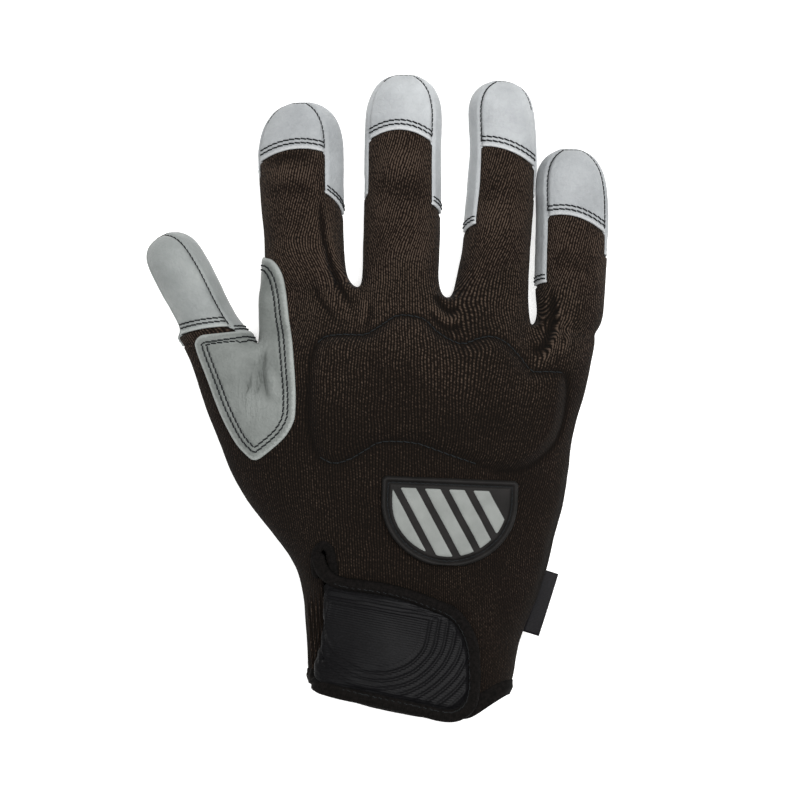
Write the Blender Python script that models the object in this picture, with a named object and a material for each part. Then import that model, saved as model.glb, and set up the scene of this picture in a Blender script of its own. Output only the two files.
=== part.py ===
"""Fabricator glove for the right hand, lying palm down: fingertips toward +Y, thumb toward -X."""

from collections import namedtuple
from math import acos, cos, pi, radians, sin

import bmesh
import bpy
from mathutils import Vector

# Sizes of the knitted body, in metres.
BODY_LENGTH = 0.1587        # cuff edge to the fork of the index and middle fingers
BODY_WIDTH = 0.126          # across the knuckles
BODY_DEPTH = 0.030          # palm to back where the hand is thickest
BODY_SINK = 0.002           # how far the palm is pressed flat where it lies
FINGER_SINK = 0.0012        # the same under the fingers
CUFF_RISE = 0.0085          # how far the cuff's edge runs up toward its thumb side

# Sizes of the fingers, in metres. Lengths run from each finger's fork to its tip.
THUMB_LENGTH = 0.0463
THUMB_WIDTH = 0.0206
INDEX_LENGTH = 0.0708
INDEX_WIDTH = 0.0316
MIDDLE_LENGTH = 0.0822
MIDDLE_WIDTH = 0.0281
RING_LENGTH = 0.0870
RING_WIDTH = 0.0250
LITTLE_LENGTH = 0.0678
LITTLE_WIDTH = 0.0268
FINGER_DEPTH = 0.0205       # thumb, index and middle finger, palm side to back
RING_DEPTH = 0.0195
LITTLE_DEPTH = 0.0185

# Walls and fits.
KNIT_WALL = 0.0016
LEATHER_WALL = 0.0010
LEATHER_STEP = 0.0004       # leather face above the knit beside it
GAP = 0.0003                # air between neighbouring pieces
LAP = 0.005                 # knit that runs on under the leather's edge

# The raised pad over the knuckles and the valleys between the fingers.
KNUCKLE_RAISE = 0.0014
RAISE_LEFT = -0.28          # the pad's sides, as shares of BODY_WIDTH from the middle line
RAISE_RIGHT = 0.48
RAISE_LOW = 0.60            # the pad's lower and upper edges, as shares of BODY_LENGTH
RAISE_HIGH = 0.92
RAISE_EDGE = 0.08           # how far its edges take to rise, as a share of either size
FORK_DIP = 0.0048
FORK_DIP_WIDTH = 0.0095     # from the middle of a valley to its side
FORK_FADE = 0.030
THUMB_VALLEY = 0.0045
THUMB_VALLEY_LENGTH = 0.026
THUMB_VALLEY_WIDTH = 0.012

# The slit at the wrist and its binding.
SLIT_WIDTH = 0.0026
TAPE_WALL = 0.0010
VENT_REACH = 0.0165         # how far the slit's binding runs down from the slit's end
TAPE_WIDTH = 0.0030

# The leather saddle between thumb and index finger.
PATCH_WIDTH = 0.038
PATCH_LENGTH = 0.076
PATCH_UNDERSIDE = 0.006     # height at which the saddle stops on its way to the palm

# The half-round badge.
BADGE_WIDTH = 0.0500
BADGE_HEIGHT = 0.0325
BADGE_X = 0.0180
BADGE_Y = 0.0727
BADGE_TILT = radians(-2.5)
BADGE_SHOULDER = 0.46       # its straight edge above the middle, as a share of the height
BADGE_ROUND = 0.74          # the half round below it, as a share of the height
BADGE_STEPS = 11
BADGE_WALL = 0.0012
BADGE_RIM = 0.0016
BADGE_RIM_RAISE = 0.0007
BADGE_BARS = 5
BADGE_BAR_WALL = 0.0009
BADGE_BAR_SLANT = radians(28)

# The closure strap.
STRAP_WIDTH = 0.0570        # along the hand's width
STRAP_HEIGHT = 0.0450       # along the hand's length
STRAP_X = 0.0008
STRAP_Y = 0.0243
STRAP_TILT = radians(-10)
STRAP_CORNER = 0.0150
STRAP_CORNER_STEPS = 5
STRAP_WALL = 0.0018
MOULDING_WALL = 0.0012
STRAP_EDGE = 0.0048

# The folded side label.
LABEL_WIDTH = 0.0052
LABEL_LENGTH = 0.0245
LABEL_WALL = 0.0009
LABEL_Y = 0.0408
LABEL_TILT = radians(-17)
LABEL_ROWS = 4

# Columns of faces across the back of one finger, and the roundness of the sections.
COLUMNS = 4
BODY_ROUNDNESS = 2.3
FINGER_ROUNDNESS = 2.2
SIDE_SEAM = 0.0011          # side seam inside the outline of the body
PALM_CORNER = 0.0075        # where the palm's flat underside begins

# Body sections from the cuff to the fork of the thumb. Reach is a share of BODY_LENGTH; left,
# right and thumb line are shares of BODY_WIDTH from the middle line; depth is a share of
# BODY_DEPTH. The thumb line parts the thumb's columns from the index finger's.
BodySection = namedtuple("BodySection", "reach left right depth thumb_line")
BODY_SECTIONS = (
    BodySection(0.000, -0.262, 0.318, 0.88, -0.222),
    BodySection(0.031, -0.270, 0.334, 0.88, -0.223),
    BodySection(0.094, -0.275, 0.345, 0.88, -0.224),
    BodySection(0.170, -0.279, 0.357, 0.88, -0.225),
    BodySection(0.259, -0.288, 0.403, 0.89, -0.227),
    BodySection(0.330, -0.305, 0.435, 0.91, -0.229),
    BodySection(0.387, -0.348, 0.452, 0.94, -0.230),
    BodySection(0.465, -0.423, 0.478, 0.97, -0.257),
    BodySection(0.542, -0.490, 0.498, 1.00, -0.285),
    BodySection(0.618, -0.529, 0.508, 1.00, -0.315),
    BodySection(0.689, -0.564, 0.526, 1.00, -0.348),
    BodySection(0.764, -0.599, 0.553, 0.97, -0.384),
    BodySection(0.866, -0.645, 0.582, 0.92, -0.419),
)
SLIT_SECTIONS = 6           # sections that the slit passes, counted from the cuff
CUFF_EDGE = (1.35, 1.0, 0.42, 0.0, -0.12, 0.9)   # shares of CUFF_RISE at the columns' edges

# Forks and outer ends of the knuckle line. At cuff and x are shares of BODY_WIDTH, reach is a
# share of BODY_LENGTH.
Fork = namedtuple("Fork", "at_cuff x reach")
KNUCKLE_LINE = (
    Fork(None, -0.411, 0.986),
    Fork(-0.083, -0.122, 1.000),
    Fork(0.059, 0.146, 0.974),
    Fork(0.202, 0.395, 0.910),
    Fork(None, 0.596, 0.894),
)
KNUCKLE_DEPTH = 0.745
KNUCKLE_ROWS = 3

# One row for each finger. X is a share of BODY_WIDTH and lean is in degrees. Waist, base, slants,
# seams and tip shift are shares of the width, and reaches are shares of the length. A seam is that
# far inside the finger's outline.
Limb = namedtuple("Limb", "name x lean length width depth base waist left_seam right_seam "
                          "base_slant pad_reach pad_slant back_reach back_slant tip_shift")
LIMBS = (
    Limb("thumb", -0.538, -26.5, THUMB_LENGTH, THUMB_WIDTH, FINGER_DEPTH, 1.26, 1.18, 0.040, 0.230,
         0.42, 0.170, 0.30, 0.170, 0.30, -0.05),
    Limb("index", -0.278, -3.0, INDEX_LENGTH, INDEX_WIDTH, FINGER_DEPTH, 1.00, 0.95, 0.028, 0.177,
         0.00, 0.450, 0.05, 0.709, -0.10, 0.05),
    Limb("middle", 0.002, 1.0, MIDDLE_LENGTH, MIDDLE_WIDTH, FINGER_DEPTH, 1.05, 1.03, 0.043, 0.125,
         0.14, 0.399, 0.00, 0.713, 0.05, 0.01),
    Limb("ring", 0.272, 4.7, RING_LENGTH, RING_WIDTH, RING_DEPTH, 1.16, 1.04, 0.178, 0.036,
         0.36, 0.372, 0.10, 0.677, 0.30, -0.12),
    Limb("little", 0.504, 2.0, LITTLE_LENGTH, LITTLE_WIDTH, LITTLE_DEPTH, 0.91, 0.98, 0.159, 0.045,
         0.12, 0.282, 0.10, 0.586, 0.30, -0.07),
)

# The rounded end of every finger: distance from the tip, width and depth, as shares of the
# finger's width, width and depth.
TipSection = namedtuple("TipSection", "from_tip width depth")
TIP_SECTIONS = (
    TipSection(0.380, 0.945, 0.94),
    TipSection(0.200, 0.800, 0.78),
    TipSection(0.080, 0.580, 0.56),
    TipSection(0.012, 0.300, 0.28),
)
FIRST_RING = 0.0042         # first ring of a finger above its fork

KNIT_COLOUR = (0.024, 0.015, 0.011)
LEATHER_COLOUR = (0.46, 0.49, 0.48)
TAPE_COLOUR = (0.008, 0.008, 0.009)
RUBBER_COLOUR = (0.012, 0.012, 0.013)
MOTIF_COLOUR = (0.32, 0.33, 0.32)

Ring = namedtuple("Ring", "top right bottom left")


def clear_scene():
    for item in list(bpy.data.objects):
        bpy.data.objects.remove(item, do_unlink=True)


def mix(start, end, share):
    return start + (end - start) * share


def ease(share):
    share = min(1.0, max(0.0, share))
    return share * share * (3.0 - 2.0 * share)


def arch(share, roundness):
    """Height of a rounded section, 1 in the middle and 0 at its sides."""
    return max(0.0, 1.0 - min(1.0, abs(share)) ** roundness) ** (1.0 / roundness)


def body_at(reach, column):
    """Read one column of the body's table at any reach."""
    rows = BODY_SECTIONS
    for low, high in zip(rows, rows[1:]):
        if reach <= high.reach:
            share = (reach - low.reach) / (high.reach - low.reach)
            return mix(getattr(low, column), getattr(high, column), share)
    end = {"left": KNUCKLE_LINE[0].x, "right": KNUCKLE_LINE[-1].x, "depth": KNUCKLE_DEPTH}[column]
    share = (reach - rows[-1].reach) / (KNUCKLE_LINE[1].reach - rows[-1].reach)
    return mix(getattr(rows[-1], column), end, min(1.0, share))


class Form:
    """The outer skin of the whole hand: points, and three-cornered faces with their places."""

    def __init__(self):
        self.points = []
        self.faces = []
        self.places = []
        self.slit_points = []

    def add(self, x, y, z):
        self.points.append(Vector((x, y, z)))
        return len(self.points) - 1

    def quad(self, corners, place):
        first, second, third, fourth = corners
        for face in ((first, second, third), (first, third, fourth)):
            self.faces.append(face)
            self.places.append(place)

    def join(self, low, high, limb, band):
        """Join two rings that have the same number of columns."""
        last = len(low.top) - 1
        for i in range(last):
            self.quad((low.top[i], low.top[i + 1], high.top[i + 1], high.top[i]), (limb, band, "back"))
            self.quad((low.bottom[i + 1], low.bottom[i], high.bottom[i], high.bottom[i + 1]),
                      (limb, band, "palm"))
        self.quad((low.top[last], low.right, high.right, high.top[last]), (limb, band, "right"))
        self.quad((low.right, low.bottom[last], high.bottom[last], high.right), (limb, band, "palm"))
        self.quad((low.bottom[0], low.left, high.left, high.bottom[0]), (limb, band, "palm"))
        self.quad((low.left, low.top[0], high.top[0], high.left), (limb, band, "left"))

    def close(self, ring, limb, band):
        """Close a fingertip across its last ring."""
        last = len(ring.top) - 1
        for i in range(last):
            self.quad((ring.top[i], ring.top[i + 1], ring.bottom[i + 1], ring.bottom[i]),
                      (limb, band, "palm"))
        for corners in ((ring.top[last], ring.right, ring.bottom[last]),
                        (ring.bottom[0], ring.left, ring.top[0])):
            self.faces.append(corners)
            self.places.append((limb, band, "palm"))


def knuckle_raise(x, y):
    """The raised pad that crosses the back of the hand below the knuckles."""
    across = x / BODY_WIDTH
    along = y / BODY_LENGTH
    width_share = ease((across - RAISE_LEFT) / RAISE_EDGE) * ease((RAISE_RIGHT - across) / RAISE_EDGE)
    length_share = ease((along - RAISE_LOW) / RAISE_EDGE) * ease((RAISE_HIGH - along) / RAISE_EDGE)
    return KNUCKLE_RAISE * width_share * length_share


def fork_dip(x, y):
    """Valleys that run down the back of the hand from the forks."""
    depth = 0.0
    for fork in KNUCKLE_LINE[1:-1]:
        near = 1.0 - abs(x - fork.x * BODY_WIDTH) / FORK_DIP_WIDTH
        fade = 1.0 - (fork.reach * BODY_LENGTH - y) / FORK_FADE
        depth = max(depth, FORK_DIP * ease(near) * ease(fade))
    low = BODY_SECTIONS[-3]
    high = BODY_SECTIONS[-1]
    below = high.reach * BODY_LENGTH - y
    share = below / ((high.reach - low.reach) * BODY_LENGTH)
    middle = mix(high.thumb_line, low.thumb_line, share) * BODY_WIDTH
    near = 1.0 - abs(x - middle) / THUMB_VALLEY_WIDTH
    fade = 1.0 - below / THUMB_VALLEY_LENGTH
    if below < -GAP:
        fade = 0.0
    return max(depth, THUMB_VALLEY * ease(near) * ease(fade))


def body_middle(reach, depth):
    """Height of the body's side seams; the cuff lies on its tape, the rest is pressed flat."""
    tape = BODY_SECTIONS[1].reach
    free = BODY_SECTIONS[3].reach
    lift = 1.0 - ease((reach - tape) / (free - tape))
    return depth / 2.0 - BODY_SINK + (BODY_SINK + TAPE_WALL + GAP) * lift


def body_column(form, edges, x, y, under):
    """One point of the body's back or palm side between the two outer edges."""
    left, right, depth, middle = edges
    share = (x - (left + right) / 2.0) / ((right - left) / 2.0)
    height = depth / 2.0 * arch(share, BODY_ROUNDNESS)
    if under:
        return form.add(x, y, middle - height)
    return form.add(x, y, middle + height + knuckle_raise(x, y) - fork_dip(x, y))


def spread(lines):
    """Columns between the given lines, closer together toward the two outer edges."""
    columns = []
    for group, (start, end) in enumerate(zip(lines, lines[1:])):
        for step in range(COLUMNS):
            share = step / COLUMNS
            if group == 0:
                share = share ** 1.35
            if group == len(lines) - 2:
                share = 1.0 - (1.0 - share) ** 1.35
            columns.append(mix(start, end, share))
    return columns + [lines[-1]]


def body_ring(form, lines, heights, edges):
    """A ring round the body; lines part the fingers' columns and heights are their places."""
    left, right, depth, middle = edges
    tops = spread([left + SIDE_SEAM] + lines + [right - SIDE_SEAM])
    left_corner = min(PALM_CORNER, (lines[0] - left) / 2.0)
    bottoms = spread([left + left_corner] + lines + [right - PALM_CORNER])
    places = spread(heights)
    top = [body_column(form, edges, x, y, False) for x, y in zip(tops, places)]
    bottom = [body_column(form, edges, x, y, True) for x, y in zip(bottoms, places)]
    return Ring(top, form.add(right, places[-1], middle), bottom, form.add(left, places[0], middle))


def wrist_rings(form):
    """Rings from the cuff to the fork of the thumb."""
    rings = []
    for number, row in enumerate(BODY_SECTIONS):
        depth = row.depth * BODY_DEPTH
        middle = body_middle(row.reach, depth)
        edges = (row.left * BODY_WIDTH, row.right * BODY_WIDTH, depth, middle)
        lines = [row.thumb_line * BODY_WIDTH]
        for fork in KNUCKLE_LINE[1:-1]:
            lines.append(mix(fork.at_cuff, fork.x, row.reach / fork.reach) * BODY_WIDTH)
        rise = CUFF_RISE * (1.0 - ease(row.reach / BODY_SECTIONS[3].reach))
        y = row.reach * BODY_LENGTH
        heights = [y + rise * share for share in CUFF_EDGE]
        ring = body_ring(form, lines, heights, edges)
        if number < SLIT_SECTIONS:
            form.slit_points.append(ring.top[COLUMNS])
        rings.append(ring)
    form.slit_points.append(rings[SLIT_SECTIONS].top[COLUMNS])
    return rings


def knuckle_rings(form, thumb_ring, fork_point):
    """Rings from the fork of the thumb to the forks of the fingers."""
    start = Ring(thumb_ring.top[COLUMNS:], thumb_ring.right, thumb_ring.bottom[COLUMNS:], fork_point)
    rings = [start]
    low = BODY_SECTIONS[-1].reach
    for row in range(1, KNUCKLE_ROWS + 1):
        share = row / KNUCKLE_ROWS
        reaches = [mix(low, fork.reach, share) for fork in KNUCKLE_LINE]
        left = mix(KNUCKLE_LINE[0].x, BODY_SECTIONS[-1].thumb_line, 0.3 * (1.0 - share)) * BODY_WIDTH
        right = body_at(reaches[-1], "right") * BODY_WIDTH
        depth = mix(BODY_SECTIONS[-1].depth, KNUCKLE_DEPTH, share) * BODY_DEPTH
        lines = [mix(fork.at_cuff, fork.x, reach / fork.reach) * BODY_WIDTH
                 for fork, reach in zip(KNUCKLE_LINE[1:-1], reaches[1:-1])]
        heights = [reach * BODY_LENGTH for reach in reaches]
        rings.append(body_ring(form, lines, heights, (left, right, depth, body_middle(low, depth))))
    return rings


def fork_middle(form, top, bottom):
    """The point halfway down the cloth in a fork."""
    return form.add(*((form.points[top] + form.points[bottom]) / 2.0))


def limb_stations(limb):
    """Reach, width, depth, slant and shift of each ring of a finger above its fork."""
    first = FIRST_RING / limb.length
    lap = LAP / limb.length
    marks = [(first, limb.base, 1.0, limb.base_slant)]
    if limb.pad_reach < limb.back_reach:
        marks.append((mix(first, limb.pad_reach, 0.5), limb.waist, 1.0,
                      mix(limb.base_slant, limb.pad_slant, 0.5)))
        marks.append((limb.pad_reach, mix(limb.waist, 1.0, 0.5), 1.0, limb.pad_slant))
        marks.append((limb.pad_reach + lap, mix(limb.waist, 1.0, 0.6), 1.0, limb.pad_slant))
        marks.append((mix(limb.pad_reach + lap, limb.back_reach, 0.5), 1.0, 1.0,
                      mix(limb.pad_slant, limb.back_slant, 0.5)))
    marks.append((limb.back_reach, 1.0, 1.0, limb.back_slant))
    marks.append((limb.back_reach + lap, 1.0, 1.0, limb.back_slant * 0.8))
    start = limb.back_reach + lap
    dome = 1.0 - TIP_SECTIONS[0].from_tip * limb.width / limb.length
    if dome - start > 0.12:
        marks.append((mix(start, dome, 0.5), 1.0, 0.99, limb.back_slant * 0.4))
    for tip in TIP_SECTIONS:
        marks.append((1.0 - tip.from_tip * limb.width / limb.length, tip.width, tip.depth, 0.0))
    return marks


def limb_ring(form, limb, origin, mark):
    """One ring round a finger."""
    reach, width_share, depth_share, slant = mark
    axis = Vector((sin(radians(limb.lean)), cos(radians(limb.lean)), 0.0))
    across = Vector((axis.y, -axis.x, 0.0))
    half = limb.width * width_share / 2.0
    middle = limb.depth / 2.0 - FINGER_SINK
    height = limb.depth * depth_share / 2.0
    shift = limb.tip_shift * limb.width * ease((reach - 0.6) / 0.4)
    narrow = 0.35 + 0.65 * min(1.0, width_share)

    def place(share, lift):
        spot = origin + axis * (reach * limb.length - slant * share * half)
        spot = spot + across * (share * half + shift)
        return form.add(spot.x, spot.y, middle + lift)

    left = pi - acos(1.0 - limb.left_seam * limb.width * narrow / half)
    right = acos(1.0 - limb.right_seam * limb.width * narrow / half)
    top = []
    bottom = []
    for step in range(COLUMNS + 1):
        share = cos(mix(left, right, step / COLUMNS))
        top.append(place(share, height * arch(share, FINGER_ROUNDNESS)))
        share = -cos(pi / 6.0 + step / COLUMNS * pi * 2.0 / 3.0)
        bottom.append(place(share, -height * arch(share, FINGER_ROUNDNESS)))
    return Ring(top, place(1.0, 0.0), bottom, place(-1.0, 0.0))


def add_limb(form, limb, base, middle_y):
    """Grow one finger from its ring of points on the body."""
    origin = Vector((limb.x * BODY_WIDTH, middle_y, 0.0))
    rings = [base] + [limb_ring(form, limb, origin, mark) for mark in limb_stations(limb)]
    for band, (low, high) in enumerate(zip(rings, rings[1:])):
        form.join(low, high, limb.name, band)
    form.close(rings[-1], limb.name, len(rings) - 1)


def make_form():
    """The outer skin of the hand, in one frame with the cuff edge at y = 0."""
    form = Form()
    wrist = wrist_rings(form)
    for band, (low, high) in enumerate(zip(wrist, wrist[1:])):
        form.join(low, high, "wrist", band)
    last = wrist[-1]
    thumb_fork = fork_middle(form, last.top[COLUMNS], last.bottom[COLUMNS])
    knuckles = knuckle_rings(form, last, thumb_fork)
    for band, (low, high) in enumerate(zip(knuckles, knuckles[1:])):
        form.join(low, high, "knuckles", band)
    line = knuckles[-1]
    bases = [Ring(last.top[:COLUMNS + 1], thumb_fork, last.bottom[:COLUMNS + 1], last.left)]
    middles = [line.left]
    for finger in range(1, 4):
        column = finger * COLUMNS
        middles.append(fork_middle(form, line.top[column], line.bottom[column]))
    middles.append(line.right)
    for finger in range(4):
        columns = slice(finger * COLUMNS, (finger + 1) * COLUMNS + 1)
        bases.append(Ring(line.top[columns], middles[finger + 1], line.bottom[columns], middles[finger]))
    for limb, base in zip(LIMBS, bases):
        middle_y = (form.points[base.top[0]].y + form.points[base.top[-1]].y) / 2.0
        add_limb(form, limb, base, middle_y)
    return form


def form_mesh(form):
    """Turn the form into a mesh that carries each face's place and each point's way out."""
    mesh = bmesh.new()
    place_layer = mesh.faces.layers.int.new("place")
    out_layer = mesh.verts.layers.float_vector.new("out")
    slit_layer = mesh.verts.layers.int.new("slit")
    verts = [mesh.verts.new(point) for point in form.points]
    for number, (corners, place) in enumerate(zip(form.faces, form.places)):
        mesh.faces.new([verts[corner] for corner in corners])[place_layer] = number
    mesh.normal_update()
    for vert in mesh.verts:
        lean = sum(vert.normal.dot(face.normal) for face in vert.link_faces) / len(vert.link_faces)
        vert[out_layer] = vert.normal / max(0.7, lean)
    for point in form.slit_points:
        verts[point][slit_layer] = 1
    return mesh


def pull_in(vert, distance):
    """How far a point on a piece's edge moves into the piece, square to that edge."""
    inward = Vector((0.0, 0.0, 0.0))
    for edge in vert.link_edges:
        if edge.is_boundary:
            along = (edge.verts[1].co - edge.verts[0].co).normalized()
            across = edge.link_faces[0].calc_center_median() - edge.verts[0].co
            inward += (across - along * across.dot(along)).normalized()
    if inward.length < 1e-6:
        return inward
    return inward.normalized() * distance * min(1.6, 2.0 / inward.length)


def make_piece(name, sheet, outer, inner, colour, roughness, covered=None, open_slit=False):
    """Give a cut-out sheet its wall, from the height inner to the height outer off the form.

    Covered gives, for a face, how far it sinks and how high it rests under another piece."""
    out_layer = sheet.verts.layers.float_vector["out"]
    slit_layer = sheet.verts.layers.int["slit"]
    sheet.normal_update()
    solid = bmesh.new()
    faces_of = {}
    for vert in sheet.verts:
        sink = 0.0
        rest = 0.0
        if covered is not None:
            sink = max(covered(face)[0] for face in vert.link_faces)
            rest = max(covered(face)[1] for face in vert.link_faces)
        distance = 0.0
        if vert.is_boundary:
            distance = SLIT_WIDTH / 2.0 if vert[slit_layer] and open_slit else GAP * 0.6
        spot = vert.co + pull_in(vert, distance)
        high = spot + vert[out_layer] * (outer - sink)
        low = spot + vert[out_layer] * (inner - sink)
        high.z = max(high.z, rest)
        low.z = max(low.z, rest + outer - inner)
        faces_of[vert] = (solid.verts.new(high), solid.verts.new(low))
    for face in sheet.faces:
        solid.faces.new([faces_of[vert][0] for vert in face.verts])
        solid.faces.new([faces_of[vert][1] for vert in reversed(face.verts)])
        for loop in face.loops:
            if loop.edge.is_boundary:
                start, end = loop.vert, loop.link_loop_next.vert
                solid.faces.new((faces_of[end][0], faces_of[start][0],
                                 faces_of[start][1], faces_of[end][1]))
    sheet.free()
    return add_object(name, solid, colour, roughness)


def add_object(name, solid, colour, roughness):
    """Turn a solid into a named object with its own material."""
    bmesh.ops.triangulate(solid, faces=solid.faces[:])
    mesh = bpy.data.meshes.new(name)
    solid.to_mesh(mesh)
    solid.free()
    material = bpy.data.materials.new(name + "_material")
    material.use_nodes = True
    shader = material.node_tree.nodes["Principled BSDF"]
    shader.inputs["Base Color"].default_value = (*colour, 1.0)
    shader.inputs["Roughness"].default_value = roughness
    shader.inputs["Metallic"].default_value = 0.0
    mesh.materials.append(material)
    mesh.shade_smooth()
    mesh.set_sharp_from_angle(angle=radians(40))
    item = bpy.data.objects.new(name, mesh)
    bpy.context.scene.collection.objects.link(item)
    return item


def cut_out(skin, form, chosen):
    """A copy of the skin with only the chosen places left."""
    sheet = skin.copy()
    layer = sheet.faces.layers.int["place"]
    others = [face for face in sheet.faces if not chosen(form.places[face[layer]])]
    bmesh.ops.delete(sheet, geom=others, context="FACES")
    return sheet


def inside(outline, x, y):
    """Whether a place lies inside an outline that runs counterclockwise."""
    for (x0, y0), (x1, y1) in zip(outline, outline[1:] + outline[:1]):
        if (x1 - x0) * (y - y0) - (y1 - y0) * (x - x0) < 0.0:
            return False
    return True


def trim(sheet, outline, keep_inside=True):
    """Cut a sheet along a convex outline seen from above and drop one side."""
    for (x0, y0), (x1, y1) in zip(outline, outline[1:] + outline[:1]):
        everything = sheet.verts[:] + sheet.edges[:] + sheet.faces[:]
        bmesh.ops.bisect_plane(sheet, geom=everything, dist=1e-6, plane_co=(x0, y0, 0.0),
                               plane_no=(y1 - y0, x0 - x1, 0.0), clear_outer=keep_inside)
    if not keep_inside:
        gone = []
        for face in sheet.faces:
            middle = face.calc_center_median()
            if inside(outline, middle.x, middle.y):
                gone.append(face)
        bmesh.ops.delete(sheet, geom=gone, context="FACES")


def turned(points, centre, angle):
    """Outline points turned about a centre and moved there."""
    return [(centre[0] + x * cos(angle) - y * sin(angle), centre[1] + x * sin(angle) + y * cos(angle))
            for x, y in points]


def split_slit(sheet):
    """Part a sheet along the wrist slit."""
    slit = sheet.verts.layers.int["slit"]
    cuts = [edge for edge in sheet.edges if edge.verts[0][slit] and edge.verts[1][slit]]
    bmesh.ops.split_edges(sheet, edges=cuts)


def knit_panels(skin, form, bands):
    """Back and palm of knitted cloth, with their ends running on under the leather."""
    def back_place(place):
        limb, band, side = place
        return side == "back" and (limb not in bands or band <= bands[limb]["back"])

    def palm_place(place):
        limb, band, side = place
        return side != "back" and (limb not in bands or band <= bands[limb]["pad"])

    for name, chosen, edge in (("back_panel", back_place, "back"), ("palm_panel", palm_place, "pad")):
        sheet = cut_out(skin, form, chosen)
        layer = sheet.faces.layers.int["place"]
        if name == "back_panel":
            split_slit(sheet)

        def covered(face, edge=edge, layer=layer):
            limb, band, side = form.places[face[layer]]
            if limb in bands and band == bands[limb][edge]:
                return LEATHER_WALL + GAP - LEATHER_STEP, LEATHER_WALL + GAP
            if limb == "wrist" and band == 0:
                return 0.0, TAPE_WALL + GAP
            return 0.0, 0.0

        make_piece(name, sheet, 0.0, -KNIT_WALL, KNIT_COLOUR, 0.9, covered, name == "back_panel")


def leather_tips(skin, form, bands):
    """Two leather pieces on each finger: one over the nail, one round the rest of the tip."""
    for limb in LIMBS:
        def tip_place(place, name=limb.name):
            owner, band, side = place
            return owner == name and side == "back" and band >= bands[name]["back"]

        def pad_place(place, name=limb.name):
            owner, band, side = place
            return owner == name and side != "back" and band >= bands[name]["pad"]

        outer = LEATHER_STEP
        inner = LEATHER_STEP - LEATHER_WALL
        for kind, chosen in (("back_tip", tip_place), ("pad", pad_place)):
            sheet = cut_out(skin, form, chosen)
            make_piece(f"{limb.name}_{kind}", sheet, outer, inner, LEATHER_COLOUR, 0.6)


def band_numbers():
    """For each finger, the bands where the back tip and the pad begin."""
    bands = {}
    for limb in LIMBS:
        reaches = [mark[0] for mark in limb_stations(limb)]
        back = reaches.index(limb.back_reach) + 1
        pad = reaches.index(limb.pad_reach) + 1
        bands[limb.name] = {"back": back, "pad": pad}
    return bands


# Outline of the leather saddle, counterclockwise. Across and along are shares of PATCH_WIDTH and
# PATCH_LENGTH from the fork of the thumb.
PatchCorner = namedtuple("PatchCorner", "across along")
PATCH_CORNERS = (
    PatchCorner(0.03, 0.43),
    PatchCorner(-0.12, 0.42),
    PatchCorner(-0.64, 0.03),
    PatchCorner(-0.61, -0.03),
    PatchCorner(-0.48, -0.17),
    PatchCorner(-0.21, -0.48),
    PatchCorner(-0.03, -0.57),
    PatchCorner(0.29, -0.44),
    PatchCorner(0.36, -0.37),
    PatchCorner(0.36, -0.10),
    PatchCorner(0.30, 0.13),
    PatchCorner(0.22, 0.30),
    PatchCorner(0.14, 0.40),
)
PATCH_THUMB_EDGE = 0.05     # where the saddle ends on the thumb, along the length as above
PATCH_THUMB_SLOPE = radians(4)


def crotch_patch(skin, form):
    """Leather saddle over the fork of the thumb."""
    def chosen(place):
        limb, band, side = place
        if limb == "thumb":
            return side in ("back", "right") and band < 2
        if limb == "index":
            return side in ("back", "left") and band < 2
        if limb == "knuckles":
            return side in ("back", "left")
        return side == "back"

    sheet = cut_out(skin, form, chosen)
    fork_x = BODY_SECTIONS[-1].thumb_line * BODY_WIDTH
    fork_y = BODY_SECTIONS[-1].reach * BODY_LENGTH
    trim(sheet, [(fork_x + corner.across * PATCH_WIDTH, fork_y + corner.along * PATCH_LENGTH)
                 for corner in PATCH_CORNERS])
    layer = sheet.faces.layers.int["place"]
    faces = [face for face in sheet.faces if form.places[face[layer]][0] == "thumb"]
    parts = faces + list({edge for face in faces for edge in face.edges})
    parts += list({vert for face in faces for vert in face.verts})
    bmesh.ops.bisect_plane(sheet, geom=parts, dist=1e-6, clear_outer=True,
                           plane_co=(fork_x, fork_y + PATCH_THUMB_EDGE * PATCH_LENGTH, 0.0),
                           plane_no=(-sin(PATCH_THUMB_SLOPE), cos(PATCH_THUMB_SLOPE), 0.0))
    everything = sheet.verts[:] + sheet.edges[:] + sheet.faces[:]
    bmesh.ops.bisect_plane(sheet, geom=everything, dist=1e-6, plane_co=(0.0, 0.0, PATCH_UNDERSIDE),
                           plane_no=(0.0, 0.0, -1.0), clear_outer=True)
    make_piece("crotch_patch", sheet, GAP + LEATHER_WALL, GAP, LEATHER_COLOUR, 0.6)


def half_round(width, height, inset):
    """Counterclockwise outline with a straight upper edge and a half-round lower one."""
    half = width / 2.0 - inset
    top = height * BADGE_SHOULDER - inset
    start = height * (BADGE_ROUND + BADGE_SHOULDER - 1.0)
    points = [(half, top), (-half, top)]
    for step in range(BADGE_STEPS):
        angle = pi + pi * step / (BADGE_STEPS - 1)
        points.append((half * cos(angle), start + (height * BADGE_ROUND - inset) * sin(angle)))
    return points


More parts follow.
